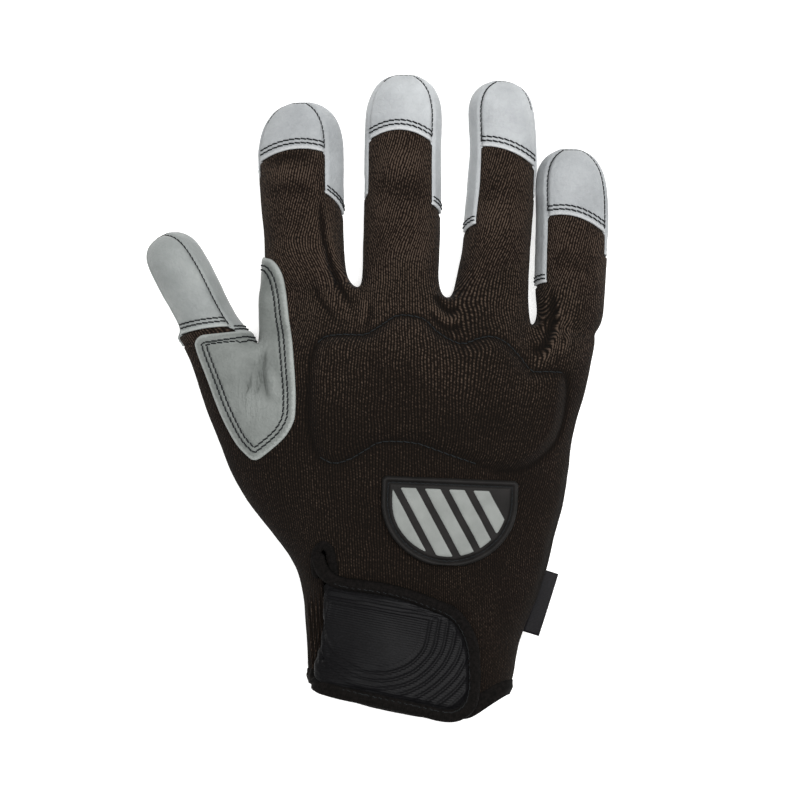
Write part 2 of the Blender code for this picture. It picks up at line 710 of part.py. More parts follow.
def badge(skin, form):
    """Moulded badge with a raised rim, and separate light bars as its plain design."""
    centre = (BADGE_X, BADGE_Y)

    def back(place):
        return place[2] == "back" and place[0] == "wrist"

    sheet = cut_out(skin, form, back)
    trim(sheet, turned(half_round(BADGE_WIDTH, BADGE_HEIGHT, 0.0), centre, BADGE_TILT))
    make_piece("badge", sheet, GAP + BADGE_WALL, GAP, RUBBER_COLOUR, 0.5)
    sheet = cut_out(skin, form, back)
    trim(sheet, turned(half_round(BADGE_WIDTH, BADGE_HEIGHT, 0.0), centre, BADGE_TILT))
    trim(sheet, turned(half_round(BADGE_WIDTH, BADGE_HEIGHT, BADGE_RIM), centre, BADGE_TILT), False)
    low = GAP + BADGE_WALL + GAP
    make_piece("badge_rim", sheet, low + BADGE_RIM_RAISE, low, RUBBER_COLOUR, 0.5)
    pitch = (BADGE_WIDTH - 4.0 * BADGE_RIM) / BADGE_BARS
    for number in range(BADGE_BARS):
        sheet = cut_out(skin, form, back)
        trim(sheet, turned(half_round(BADGE_WIDTH, BADGE_HEIGHT, BADGE_RIM * 2.0), centre, BADGE_TILT))
        middle = (number - (BADGE_BARS - 1) / 2.0) * pitch
        slab = [(-pitch * 0.3, -BADGE_HEIGHT), (pitch * 0.3, -BADGE_HEIGHT),
                (pitch * 0.3, BADGE_HEIGHT), (-pitch * 0.3, BADGE_HEIGHT)]
        trim(sheet, turned(slab, (centre[0] + middle, centre[1]), BADGE_BAR_SLANT))
        make_piece(f"badge_bar_{number + 1}", sheet, low + BADGE_BAR_WALL, low, MOTIF_COLOUR, 0.5)


def strap_outline(inset):
    """Counterclockwise outline of the strap: square at the thumb side, round at its free end."""
    half_width = STRAP_WIDTH / 2.0 - inset
    half_height = STRAP_HEIGHT / 2.0 - inset
    radius = STRAP_CORNER - inset
    points = [(-half_width, half_height), (-half_width, -half_height)]
    for middle, start in ((radius - half_height, -pi / 2.0), (half_height - radius, 0.0)):
        for step in range(STRAP_CORNER_STEPS):
            angle = start + pi / 2.0 * step / (STRAP_CORNER_STEPS - 1)
            points.append((half_width - radius + radius * cos(angle), middle + radius * sin(angle)))
    return points


def strap(skin, form):
    """Closure strap with its bound edge and its moulded face."""
    centre = (STRAP_X, STRAP_Y)

    def back(place):
        return place[2] == "back" and place[0] == "wrist"

    low = GAP + TAPE_WALL + GAP
    sheet = cut_out(skin, form, back)
    trim(sheet, turned(strap_outline(0.0), centre, STRAP_TILT))
    make_piece("closure_strap", sheet, low + STRAP_WALL, low, TAPE_COLOUR, 0.85)
    high = low + STRAP_WALL + GAP
    sheet = cut_out(skin, form, back)
    trim(sheet, turned(strap_outline(0.0), centre, STRAP_TILT))
    trim(sheet, turned(strap_outline(STRAP_EDGE), centre, STRAP_TILT), False)
    make_piece("strap_binding", sheet, high + TAPE_WALL, high, TAPE_COLOUR, 0.85)
    sheet = cut_out(skin, form, back)
    trim(sheet, turned(strap_outline(STRAP_EDGE + GAP), centre, STRAP_TILT))
    make_piece("strap_moulding", sheet, high + MOULDING_WALL, high, RUBBER_COLOUR, 0.45)


def cuff_tape(skin, form):
    """Tape folded over the cuff's edge, parted at the slit."""
    sheet = cut_out(skin, form, lambda place: place[0] == "wrist" and place[1] == 0)
    split_slit(sheet)
    make_piece("cuff_binding", sheet, GAP + TAPE_WALL, GAP, TAPE_COLOUR, 0.85, open_slit=True)


def vent_tape(skin, form):
    """Tape that runs up one side of the wrist slit, over its end and down the other."""
    end = BODY_SECTIONS[SLIT_SECTIONS]
    centre = (end.thumb_line * BODY_WIDTH, end.reach * BODY_LENGTH)
    half = SLIT_WIDTH / 2.0 + TAPE_WIDTH
    steps = 7
    arc = [(half * cos(pi * step / (steps - 1)), half * sin(pi * step / (steps - 1)))
           for step in range(steps)]
    outer = [(-half, -VENT_REACH), (half, -VENT_REACH)] + arc
    hole = SLIT_WIDTH / 2.0
    inner = [(-hole, -VENT_REACH * 2.0), (hole, -VENT_REACH * 2.0), (hole, 0.0), (-hole, 0.0)]
    sheet = cut_out(skin, form, lambda place: place[0] == "wrist" and place[2] == "back")
    trim(sheet, turned(outer, centre, 0.0))
    trim(sheet, turned(inner, centre, 0.0), False)
    make_piece("vent_binding", sheet, GAP + TAPE_WALL, GAP, TAPE_COLOUR, 0.85)


def side_label():
    """Folded woven label that stands out of the side seam."""
    solid = bmesh.new()
    rows = []
    for step in range(LABEL_ROWS):
        y = LABEL_Y + LABEL_LENGTH * (step / (LABEL_ROWS - 1) - 0.5)
        reach = y / BODY_LENGTH
        x = body_at(reach, "right") * BODY_WIDTH + GAP
        middle = body_middle(reach, body_at(reach, "depth") * BODY_DEPTH)
        reach_x = LABEL_WIDTH * cos(LABEL_TILT)
        reach_y = LABEL_WIDTH * sin(LABEL_TILT)
        half = LABEL_WALL / 2.0
        corners = ((x, y, middle + half), (x + reach_x, y + reach_y, middle + half),
                   (x + reach_x, y + reach_y, middle - half), (x, y, middle - half))
        rows.append([solid.verts.new(corner) for corner in corners])
    solid.faces.new(rows[0])
    solid.faces.new(reversed(rows[-1]))
    for low, high in zip(rows, rows[1:]):
        for i, corner in enumerate(low):
            follow = (i + 1) % len(low)
            solid.faces.new((corner, high[i], high[follow], low[follow]))
    bmesh.ops.recalc_face_normals(solid, faces=solid.faces[:])
    add_object("side_label", solid, TAPE_COLOUR, 0.8)


def centre_on_floor():
    """Parent every piece to one root that puts the middle of the glove over the origin."""
    pieces = [item for item in bpy.context.scene.objects if item.type == "MESH"]
    corners = [item.matrix_world @ vert.co for item in pieces for vert in item.data.vertices]
    low = [min(corner[axis] for corner in corners) for axis in range(3)]
    high = [max(corner[axis] for corner in corners) for axis in range(3)]
    root = bpy.data.objects.new("glove_root", None)
    root.location = (-(low[0] + high[0]) / 2.0, -(low[1] + high[1]) / 2.0, -low[2])
    bpy.context.scene.collection.objects.link(root)
    for item in pieces:
        item.parent = root


clear_scene()
hand = make_form()
skin_mesh = form_mesh(hand)
limb_bands = band_numbers()
knit_panels(skin_mesh, hand, limb_bands)
leather_tips(skin_mesh, hand, limb_bands)
crotch_patch(skin_mesh, hand)
badge(skin_mesh, hand)
cuff_tape(skin_mesh, hand)
vent_tape(skin_mesh, hand)
strap(skin_mesh, hand)
side_label()
centre_on_floor()
skin_mesh.free()
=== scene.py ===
"""A fabricator's glove for the right hand, lying palm down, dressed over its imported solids."""

from collections import namedtuple
from math import acos, cos, pi, radians, sin

import bpy
import numpy as np
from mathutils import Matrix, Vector, noise
from mathutils.bvhtree import BVHTree
from mathutils.kdtree import KDTree


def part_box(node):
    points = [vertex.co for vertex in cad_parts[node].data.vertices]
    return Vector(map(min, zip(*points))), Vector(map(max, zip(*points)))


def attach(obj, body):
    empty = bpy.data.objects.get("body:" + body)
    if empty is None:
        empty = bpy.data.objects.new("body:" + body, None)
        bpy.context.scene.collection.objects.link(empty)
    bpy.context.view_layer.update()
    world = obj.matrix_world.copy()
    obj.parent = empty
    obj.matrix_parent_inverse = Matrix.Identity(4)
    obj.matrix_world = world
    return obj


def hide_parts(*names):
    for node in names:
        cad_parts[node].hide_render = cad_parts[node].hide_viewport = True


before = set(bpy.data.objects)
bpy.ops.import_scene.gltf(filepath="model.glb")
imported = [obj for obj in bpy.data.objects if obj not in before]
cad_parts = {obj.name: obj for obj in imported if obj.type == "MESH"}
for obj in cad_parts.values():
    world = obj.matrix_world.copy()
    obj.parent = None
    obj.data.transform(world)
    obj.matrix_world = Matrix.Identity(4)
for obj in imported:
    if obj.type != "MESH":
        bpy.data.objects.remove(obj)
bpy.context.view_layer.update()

# The shape of the hand. The glove was cut and sewn to a hand form, so every layer follows one
# skin: rings from the cuff to the knuckles, then rings round each finger to its tip.
ORIGIN = Vector((0.00828, -0.11902, 0.0))     # the cuff edge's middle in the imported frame
BODY_LENGTH = 0.1587
BODY_WIDTH = 0.126
BODY_DEPTH = 0.030
BODY_SINK = 0.002
FINGER_SINK = 0.0012
CUFF_RISE = 0.0085
TAPE_WALL = 0.0010
GAP = 0.0003
FIRST_RING = 0.0042
LAP = 0.005
FORK_DIP = 0.0048
FORK_DIP_WIDTH = 0.0095
FORK_FADE = 0.030
THUMB_FORK_DRAW = 0.0090    # the fork of the thumb is sewn tight, deeper than a smooth skin would run
THUMB_VALLEY = 0.0045
THUMB_VALLEY_LENGTH = 0.026
THUMB_VALLEY_WIDTH = 0.012
COLUMNS = 4
BODY_ROUNDNESS = 2.3
FINGER_ROUNDNESS = 2.2
SIDE_SEAM = 0.0011
PALM_CORNER = 0.0075
BodySection = namedtuple("BodySection", "reach left right depth thumb_line")
BODY_SECTIONS = (
    BodySection(0.000, -0.262, 0.318, 0.88, -0.222),
    BodySection(0.031, -0.270, 0.334, 0.88, -0.223),
    BodySection(0.094, -0.275, 0.345, 0.88, -0.224),
    BodySection(0.170, -0.279, 0.357, 0.88, -0.225),
    BodySection(0.259, -0.288, 0.403, 0.89, -0.227),
    BodySection(0.330, -0.305, 0.435, 0.91, -0.229),
    BodySection(0.387, -0.348, 0.452, 0.94, -0.230),
    BodySection(0.465, -0.423, 0.478, 0.97, -0.257),
    BodySection(0.542, -0.490, 0.498, 1.00, -0.285),
    BodySection(0.618, -0.529, 0.508, 1.00, -0.315),
    BodySection(0.689, -0.564, 0.526, 1.00, -0.348),
    BodySection(0.764, -0.599, 0.553, 0.97, -0.384),
    BodySection(0.866, -0.645, 0.582, 0.92, -0.419),
)
CUFF_EDGE = (1.35, 1.0, 0.42, 0.0, -0.12, 0.9)
Fork = namedtuple("Fork", "at_cuff x reach")
KNUCKLE_LINE = (
    Fork(None, -0.411, 0.986),
    Fork(-0.083, -0.122, 1.000),
    Fork(0.059, 0.146, 0.974),
    Fork(0.202, 0.395, 0.910),
    Fork(None, 0.596, 0.894),
)
KNUCKLE_DEPTH = 0.745
KNUCKLE_ROWS = 3
Limb = namedtuple("Limb", "name x lean length width depth base waist left_seam right_seam "
                          "base_slant pad_reach pad_slant back_reach back_slant tip_shift")
LIMBS = (
    Limb("thumb", -0.538, -26.5, 0.0463, 0.0206, 0.0205, 1.26, 1.18, 0.014, 0.230,
         0.42, 0.170, 0.30, 0.170, 0.30, -0.05),
    Limb("index", -0.278, -3.0, 0.0708, 0.0316, 0.0205, 1.00, 0.95, 0.012, 0.225,
         0.00, 0.450, 0.05, 0.709, -0.10, 0.05),
    Limb("middle", 0.002, 1.0, 0.0822, 0.0281, 0.0205, 1.05, 1.03, 0.043, 0.125,
         0.14, 0.399, 0.00, 0.713, 0.05, 0.01),
    Limb("ring", 0.272, 4.7, 0.0870, 0.0250, 0.0195, 1.16, 1.04, 0.178, 0.014,
         0.36, 0.372, 0.10, 0.677, 0.30, -0.12),
    Limb("little", 0.504, 2.0, 0.0678, 0.0268, 0.0185, 0.91, 0.98, 0.159, 0.045,
         0.12, 0.282, 0.10, 0.586, 0.30, -0.07),
)
TipSection = namedtuple("TipSection", "from_tip width depth")
TIP_SECTIONS = (
    TipSection(0.380, 0.945, 0.94),
    TipSection(0.200, 0.800, 0.78),
    TipSection(0.080, 0.580, 0.56),
    TipSection(0.012, 0.300, 0.28),
)
WRIST, KNUCKLES = 0, 1
BACK, RIGHT, LEFT, PALM = 0, 1, 2, 3
Ring = namedtuple("Ring", "top right bottom left")


def mix(start, end, share):
    """The value that lies a share of the way from start to end."""
    return start + (end - start) * share


def ease(share):
    """A smooth step from nothing to one."""
    share = min(1.0, max(0.0, share))
    return share * share * (3.0 - 2.0 * share)


def arch(share, roundness):
    """Height of a rounded section at a share of its half width."""
    return max(0.0, 1.0 - min(1.0, abs(share)) ** roundness) ** (1.0 / roundness)


def right_side(reach):
    """Where the hand's right side lies, in body widths from its middle line."""
    rows = BODY_SECTIONS
    for low, high in zip(rows, rows[1:]):
        if reach <= high.reach:
            return mix(low.right, high.right, (reach - low.reach) / (high.reach - low.reach))
    share = (reach - rows[-1].reach) / (KNUCKLE_LINE[1].reach - rows[-1].reach)
    return mix(rows[-1].right, KNUCKLE_LINE[-1].x, min(1.0, share))


def body_middle(reach, depth):
    """Height of the body's middle over the table; the tape lifts it at the cuff."""
    tape = BODY_SECTIONS[1].reach
    free = BODY_SECTIONS[3].reach
    lift = 1.0 - ease((reach - tape) / (free - tape))
    return depth / 2.0 - BODY_SINK + (BODY_SINK + TAPE_WALL + GAP) * lift


def fork_dip(x, y):
    """Valleys that run down the back of the hand from the forks between the fingers."""
    depth = 0.0
    for fork in KNUCKLE_LINE[1:-1]:
        near = 1.0 - abs(x - fork.x * BODY_WIDTH) / FORK_DIP_WIDTH
        fade = 1.0 - (fork.reach * BODY_LENGTH - y) / FORK_FADE
        depth = max(depth, FORK_DIP * ease(near) * ease(fade))
    low = BODY_SECTIONS[-3]
    high = BODY_SECTIONS[-1]
    below = high.reach * BODY_LENGTH - y
    share = below / ((high.reach - low.reach) * BODY_LENGTH)
    middle = mix(high.thumb_line, low.thumb_line, share) * BODY_WIDTH
    near = 1.0 - abs(x - middle) / THUMB_VALLEY_WIDTH
    fade = 1.0 - below / THUMB_VALLEY_LENGTH
    if below < -GAP:
        fade = 0.0
    return max(depth, THUMB_VALLEY * ease(near) * ease(fade))


def spread(lines):
    """Columns between the given lines, closer together toward the two outer edges."""
    columns = []
    for group, (start, end) in enumerate(zip(lines, lines[1:])):
        for step in range(COLUMNS):
            share = step / COLUMNS
            if group == 0:
                share = share ** 1.35
            if group == len(lines) - 2:
                share = 1.0 - (1.0 - share) ** 1.35
            columns.append(mix(start, end, share))
    return columns + [lines[-1]]


class HandForm:
    """The cage of the skin: points, faces, and for each face ten times its finger plus its side."""

    def __init__(self):
        self.points = []
        self.faces = []
        self.marks = []
        self.roots = {}

    def add(self, x, y, z):
        """Add a point given in the hand's own place; its number comes back."""
        self.points.append((x + ORIGIN.x, y + ORIGIN.y, z))
        return len(self.points) - 1

    def face(self, corners, limb, side):
        self.faces.append(corners)
        self.marks.append(limb * 10 + side)

    def join(self, low, high, limb):
        """Faces between two rings."""
        last = len(low.top) - 1
        for i in range(last):
            self.face((low.top[i], low.top[i + 1], high.top[i + 1], high.top[i]), limb, BACK)
            self.face((low.bottom[i + 1], low.bottom[i], high.bottom[i], high.bottom[i + 1]), limb, PALM)
        self.face((low.top[last], low.right, high.right, high.top[last]), limb, RIGHT)
        self.face((low.right, low.bottom[last], high.bottom[last], high.right), limb, PALM)
        self.face((low.bottom[0], low.left, high.left, high.bottom[0]), limb, PALM)
        self.face((low.left, low.top[0], high.top[0], high.left), limb, LEFT)

    def body_ring(self, lines, heights, edges):
        """One ring round the body of the glove, with columns at the given lines."""
        left, right, depth, middle = edges
        tops = spread([left + SIDE_SEAM] + lines + [right - SIDE_SEAM])
        left_corner = min(PALM_CORNER, (lines[0] - left) / 2.0)
        bottoms = spread([left + left_corner] + lines + [right - PALM_CORNER])
        places = spread(heights)

        def column(x, y, sign):
            share = (x - (left + right) / 2.0) / ((right - left) / 2.0)
            height = depth / 2.0 * arch(share, BODY_ROUNDNESS)
            if sign > 0:
                height -= fork_dip(x, y)
            return self.add(x, y, middle + sign * height)

        top = [column(x, y, 1) for x, y in zip(tops, places)]
        bottom = [column(x, y, -1) for x, y in zip(bottoms, places)]
        return Ring(top, self.add(right, places[-1], middle), bottom, self.add(left, places[0], middle))

    def wrist(self):
        """Rings from the cuff up to the root of the thumb."""
        rings = []
        for row in BODY_SECTIONS:
            depth = row.depth * BODY_DEPTH
            edges = (row.left * BODY_WIDTH, row.right * BODY_WIDTH, depth, body_middle(row.reach, depth))
            lines = [row.thumb_line * BODY_WIDTH]
            for fork in KNUCKLE_LINE[1:-1]:
                lines.append(mix(fork.at_cuff, fork.x, row.reach / fork.reach) * BODY_WIDTH)
            rise = CUFF_RISE * (1.0 - ease(row.reach / BODY_SECTIONS[3].reach))
            heights = [row.reach * BODY_LENGTH + rise * share for share in CUFF_EDGE]
            rings.append(self.body_ring(lines, heights, edges))
        for low, high in zip(rings, rings[1:]):
            self.join(low, high, WRIST)
        return rings[-1]

    def knuckles(self, start):
        """Rings from the root of the thumb up to the forks of the fingers."""
        rings = [start]
        low = BODY_SECTIONS[-1].reach
        for row in range(1, KNUCKLE_ROWS + 1):
            share = row / KNUCKLE_ROWS
            reaches = [mix(low, fork.reach, share) for fork in KNUCKLE_LINE]
            left = mix(KNUCKLE_LINE[0].x, BODY_SECTIONS[-1].thumb_line, 0.3 * (1.0 - share)) * BODY_WIDTH
            right = right_side(reaches[-1]) * BODY_WIDTH
            depth = mix(BODY_SECTIONS[-1].depth, KNUCKLE_DEPTH, share) * BODY_DEPTH
            lines = [mix(fork.at_cuff, fork.x, reach / fork.reach) * BODY_WIDTH
                     for fork, reach in zip(KNUCKLE_LINE[1:-1], reaches[1:-1])]
            heights = [reach * BODY_LENGTH for reach in reaches]
            rings.append(self.body_ring(lines, heights, (left, right, depth, body_middle(low, depth))))
        for low, high in zip(rings, rings[1:]):
            self.join(low, high, KNUCKLES)
        return rings[-1]

    def halfway(self, top, bottom):
        """Add the point halfway between two others."""
        self.points.append(tuple((Vector(self.points[top]) + Vector(self.points[bottom])) / 2.0))
        return len(self.points) - 1

    def finger(self, number, limb, base):
        """Rings round one finger from its fork to its rounded end."""
        height = (self.points[base.top[0]][1] + self.points[base.top[-1]][1]) / 2.0 - ORIGIN.y
        axis = Vector((sin(radians(limb.lean)), cos(radians(limb.lean)), 0.0))
        across = Vector((axis.y, -axis.x, 0.0))
        root = Vector((limb.x * BODY_WIDTH, height, 0.0))
        self.roots[limb.name] = (root + ORIGIN, axis, across)
        lap = LAP / limb.length
        marks = [(FIRST_RING / limb.length, limb.base, 1.0, limb.base_slant)]
        if limb.pad_reach < limb.back_reach:
            marks.append((mix(marks[0][0], limb.pad_reach, 0.5), limb.waist, 1.0,
                          mix(limb.base_slant, limb.pad_slant, 0.5)))
            marks.append((limb.pad_reach, mix(limb.waist, 1.0, 0.5), 1.0, limb.pad_slant))
            marks.append((mix(limb.pad_reach + lap, limb.back_reach, 0.5), 1.0, 1.0,
                          mix(limb.pad_slant, limb.back_slant, 0.5)))
        marks.append((limb.back_reach, 1.0, 1.0, limb.back_slant))
        start = limb.back_reach + lap
        dome = 1.0 - TIP_SECTIONS[0].from_tip * limb.width / limb.length
        if dome - start > 0.06:
            marks.append((mix(start, dome, 0.4), 1.0, 0.99, limb.back_slant * 0.4))
        for tip in TIP_SECTIONS:
            marks.append((1.0 - tip.from_tip * limb.width / limb.length, tip.width, tip.depth, 0.0))
        rings = [base]
        for reach, width_share, depth_share, slant in marks:
            half = limb.width * width_share / 2.0
            lift = limb.depth * depth_share / 2.0
            middle = limb.depth / 2.0 - FINGER_SINK
            shift = limb.tip_shift * limb.width * ease((reach - 0.6) / 0.4)
            narrow = 0.35 + 0.65 * min(1.0, width_share)

            def place(share, rise, reach=reach, slant=slant, half=half, shift=shift, middle=middle):
                on_axis = root + axis * (reach * limb.length - slant * share * half)
                at = on_axis + across * (share * half + shift)
                return self.add(at.x, at.y, middle + rise)

            left = pi - acos(1.0 - limb.left_seam * limb.width * narrow / half)
            right = acos(1.0 - limb.right_seam * limb.width * narrow / half)
            top = []
            bottom = []
            for step in range(COLUMNS + 1):
                share = cos(mix(left, right, step / COLUMNS))
                top.append(place(share, lift * arch(share, FINGER_ROUNDNESS)))
                share = -cos(pi / 6.0 + step / COLUMNS * pi * 2.0 / 3.0)
                bottom.append(place(share, -lift * arch(share, FINGER_ROUNDNESS)))
            rings.append(Ring(top, place(1.0, 0.0), bottom, place(-1.0, 0.0)))
        for low, high in zip(rings, rings[1:]):
            self.join(low, high, number)
        end = rings[-1]
        for i in range(COLUMNS):
            self.face((end.top[i], end.top[i + 1], end.bottom[i + 1], end.bottom[i]), number, PALM)
        self.face((end.top[-1], end.right, end.bottom[-1]), number, PALM)
        self.face((end.bottom[0], end.left, end.top[0]), number, PALM)


hand = HandForm()
wrist_end = hand.wrist()
thumb_fork = hand.halfway(wrist_end.top[COLUMNS], wrist_end.bottom[COLUMNS])
palm_start = Ring(wrist_end.top[COLUMNS:], wrist_end.right, wrist_end.bottom[COLUMNS:], thumb_fork)
knuckle_end = hand.knuckles(palm_start)
thumb_cut = slice(0, COLUMNS + 1)
finger_bases = [Ring(wrist_end.top[thumb_cut], thumb_fork, wrist_end.bottom[thumb_cut], wrist_end.left)]
fork_points = [knuckle_end.left]
for column in (COLUMNS, 2 * COLUMNS, 3 * COLUMNS):
    fork_points.append(hand.halfway(knuckle_end.top[column], knuckle_end.bottom[column]))
fork_points.append(knuckle_end.right)
for group in range(4):
    cut = slice(group * COLUMNS, (group + 1) * COLUMNS + 1)
    finger_bases.append(Ring(knuckle_end.top[cut], fork_points[group + 1],
                             knuckle_end.bottom[cut], fork_points[group]))
for number, (limb, base) in enumerate(zip(LIMBS, finger_bases)):
    hand.finger(number + 2, limb, base)


def rounded_skin(cage, level):
    """The cage subdivided: points, faces and the faces' marks."""
    mesh = bpy.data.meshes.new("form")
    mesh.from_pydata(cage.tolist(), [], hand.faces)
    mesh.attributes.new("mark", "INT", "FACE").data.foreach_set("value", hand.marks)
    holder = bpy.data.objects.new("form", mesh)
    bpy.context.scene.collection.objects.link(holder)
    holder.modifiers.new("round", "SUBSURF").levels = level
    made = holder.evaluated_get(bpy.context.evaluated_depsgraph_get())
    fine = made.to_mesh()
    points = np.zeros(len(fine.vertices) * 3)
    fine.vertices.foreach_get("co", points)
    corners = np.zeros(len(fine.loops), np.int32)
    fine.loops.foreach_get("vertex_index", corners)
    marks = np.zeros(len(fine.polygons), np.int32)
    fine.attributes["mark"].data.foreach_get("value", marks)
    made.to_mesh_clear()
    bpy.data.objects.remove(holder)
    bpy.data.meshes.remove(mesh)
    return points.reshape(-1, 3), corners.reshape(-1, 4), marks


def ways_out(points, faces):
    """Unit normals of a net of four-cornered faces."""
    a, b, c, d = (points[faces[:, i]] for i in range(4))
    square = np.cross(c - a, d - b)
    ways = np.zeros_like(points)
    for i in range(4):
        np.add.at(ways, faces[:, i], square)
    return ways / np.maximum(np.linalg.norm(ways, axis=1), 1e-12)[:, None]


target = np.array(hand.points)
cage = target.copy()
for share in (1.0, 0.8):
    points, faces, marks = rounded_skin(cage, 2)
    ways = ways_out(points, faces)[:len(target)]
    miss = np.sum((target - points[:len(target)]) * ways, axis=1)
    cage += share * miss[:, None] * ways
cage[thumb_fork] -= (0.0, THUMB_FORK_DRAW, 0.0)

# The relief of the sewn cloth: the padded knuckle guard between its stitched lines, the valleys
# and puckers at the forks, the bending folds of the fingers and the pleats beside the strap.
PIXEL = 0.0003744           # one pixel of the photograph, in metres on the glove
PAD_RAISE = 0.0020
PAD_SLOPE = 0.0050
PAD_GROOVE = (0.00062, 0.0009)    # depth and width of the groove round the padded guard
FOLD_DEPTH = 1.7            # the folds' heights below are in mm, times this
GUARD = ((317, 345), (327, 337), (345, 335), (365, 335), (381, 326), (395, 317), (408, 316), (424, 320),
         (438, 333), (460, 344), (478, 339), (491, 337), (505, 343), (519, 357), (531, 371), (547, 372),
         (564, 374), (566, 400), (556, 440), (530, 465), (503, 470), (478, 464), (460, 458), (440, 451),
         (417, 443), (397, 441), (379, 442), (365, 450), (349, 459), (333, 462), (318, 455), (310, 430),
         (309, 395), (311, 365))
Fold = namedtuple("Fold", "places width height")
FOLDS = (
    Fold(((262, 193), (290, 189), (318, 192)), 3.4, -0.20),
    Fold(((262, 179), (290, 174), (319, 176)), 2.6, 0.22),
    Fold(((263, 165), (290, 157), (316, 158)), 2.0, -0.22),
    Fold(((368, 168), (400, 160), (430, 170)), 4.0, 0.14),
    Fold(((367, 190), (400, 186), (434, 200)), 3.8, -0.12),
    Fold(((366, 214), (400, 212), (436, 226)), 4.0, 0.14),
    Fold(((476, 196), (500, 190), (532, 200)), 3.8, -0.10),
    Fold(((472, 218), (500, 216), (531, 226)), 4.2, 0.12),
    Fold(((545, 262), (570, 262), (603, 272)), 3.8, -0.12),
    Fold(((321, 190), (322, 223), (328, 254), (340, 286), (354, 306), (364, 311)), 0.9, -0.55),
    Fold(((327, 214), (333, 250), (345, 279), (358, 297)), 1.0, 0.35),
    Fold(((318, 240), (326, 272), (340, 300), (356, 317)), 0.9, 0.35),
    Fold(((315, 262), (324, 288), (340, 312), (357, 323)), 1.0, 0.30),
    Fold(((311, 280), (322, 302), (340, 324)), 0.9, -0.28),
    Fold(((366, 296), (364, 310), (360, 326)), 1.0, 0.30),
    Fold(((371, 300), (370, 316), (364, 332)), 0.9, -0.28),
    Fold(((434, 292), (440, 304), (450, 312), (460, 304)), 1.0, -0.60),
    Fold(((430, 300), (438, 313), (450, 321), (463, 313)), 1.1, 0.50),
    Fold(((428, 309), (438, 322), (450, 330), (464, 321)), 1.0, -0.40),
    Fold(((553, 284), (553, 305), (551, 325), (544, 345), (534, 350), (526, 342)), 1.2, -0.55),
    Fold(((560, 300), (560, 325), (552, 348), (540, 361), (526, 356)), 1.3, 0.45),
    Fold(((568, 310), (568, 335), (558, 360)), 1.3, 0.28),
    Fold(((264, 348), (264, 366), (266, 384), (270, 404)), 1.5, -0.75),
    Fold(((254, 352), (255, 372), (251, 398)), 4.2, -0.45),
    Fold(((257, 366), (261, 378), (259, 390), (251, 398)), 0.7, -0.30),
    Fold(((252, 374), (255, 384), (252, 393), (246, 400)), 0.7, 0.26),
    Fold(((246, 380), (249, 389), (246, 397)), 0.7, -0.24),
    Fold(((268, 366), (274, 382), (277, 400)), 1.8, 0.42),
    Fold(((305, 700), (299, 640), (291, 575), (268, 520)), 1.6, -0.25),
    Fold(((577, 440), (566, 500), (549, 560), (533, 620)), 2.0, -0.30),
)
PLEATS = (306, 331, 588, 684)     # left, right, top and bottom of the pleated strip
PLEAT_PITCH = 0.0016
PLEAT_HEIGHT = 0.00045
PLEAT_LEAN = 0.10
SOFT_WAVES = ((70.0, 0.00035), (210.0, 0.00010))    # how fine and how high the loose cloth's unevenness is
WALE_LEAN = 0.32            # how far the wales lean to the right, sideways for each length along


def spot(u, v):
    """A place read off the photograph, in pixels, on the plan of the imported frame."""
    return ((u - 400.0) * PIXEL + ORIGIN.x, (712.0 - v) * PIXEL + ORIGIN.y)


def smooth_line(places, step=0.0012, closed=False):
    """An even, rounded line on the plan through a few places read off the photograph."""
    spots = [np.array(spot(*place)) for place in places]
    if closed:
        spots = [spots[-1]] + spots + spots[:2]
    else:
        spots = [2 * spots[0] - spots[1]] + spots + [2 * spots[-1] - spots[-2]]
    line = []
    for a, b, c, d in zip(spots, spots[1:], spots[2:], spots[3:]):
        count = max(2, int(np.linalg.norm(c - b) / step))
        for i in range(count):
            t = i / count
            line.append(0.5 * (2 * b + (c - a) * t + (2 * a - 5 * b + 4 * c - d) * t * t
                               + (3 * b - a - 3 * c + d) * t ** 3))
    if not closed:
        line.append(spots[-2])
    return np.array(line)


def to_line(points, line, closed=False):
    """Each point's distance from a line on the plan, and how far along the line it lies."""
    flat = points[:, :2]
    starts = line if closed else line[:-1]
    ends = np.roll(line, -1, 0) if closed else line[1:]
    lengths = np.linalg.norm(ends - starts, axis=1)
    before = np.concatenate(([0.0], np.cumsum(lengths)))
    near = np.full(len(flat), 9.0)
    along = np.zeros(len(flat))
    for start, end, length, run in zip(starts, ends, lengths, before):
        way = (end - start) / max(length, 1e-9)
        t = np.clip((flat - start) @ way, 0.0, length)
        gap = np.linalg.norm(flat - start - t[:, None] * way, axis=1)
        closer = gap < near
        near[closer] = gap[closer]
        along[closer] = run + t[closer]
    return near, along


def within(points, outline):
    """Signed distance from a closed outline on the plan, positive inside."""
    near = to_line(points, outline, closed=True)[0]
    x, y = points[:, 0], points[:, 1]
    odd = np.zeros(len(points), bool)
    for (x0, y0), (x1, y1) in zip(outline, np.roll(outline, -1, 0)):
        if y0 != y1:
            crosses = (y0 > y) != (y1 > y)
            odd ^= crosses & (x < (x1 - x0) * (y - y0) / (y1 - y0) + x0)
    return np.where(odd, near, -near)


def run_along(line):
    """How far along a line each of its points lies."""
    return np.concatenate(([0.0], np.cumsum(np.linalg.norm(np.diff(line, axis=0), axis=1))))


def beside(line):
    """The unit way to the left of a line of the plan at each of its points."""
    way = np.gradient(line, axis=0)
    way /= np.linalg.norm(way, axis=1)[:, None]
    return np.column_stack([-way[:, 1], way[:, 0]])


def ramp(values):
    """A smooth step for a whole array of values."""
    values = np.clip(values, 0.0, 1.0)
    return values * values * (3.0 - 2.0 * values)


def bell(distance, width):
    """One on a line, and softly nothing beside it."""
    return np.exp(-(distance / width) ** 2)


guard_outline = smooth_line(GUARD, 0.002, closed=True)


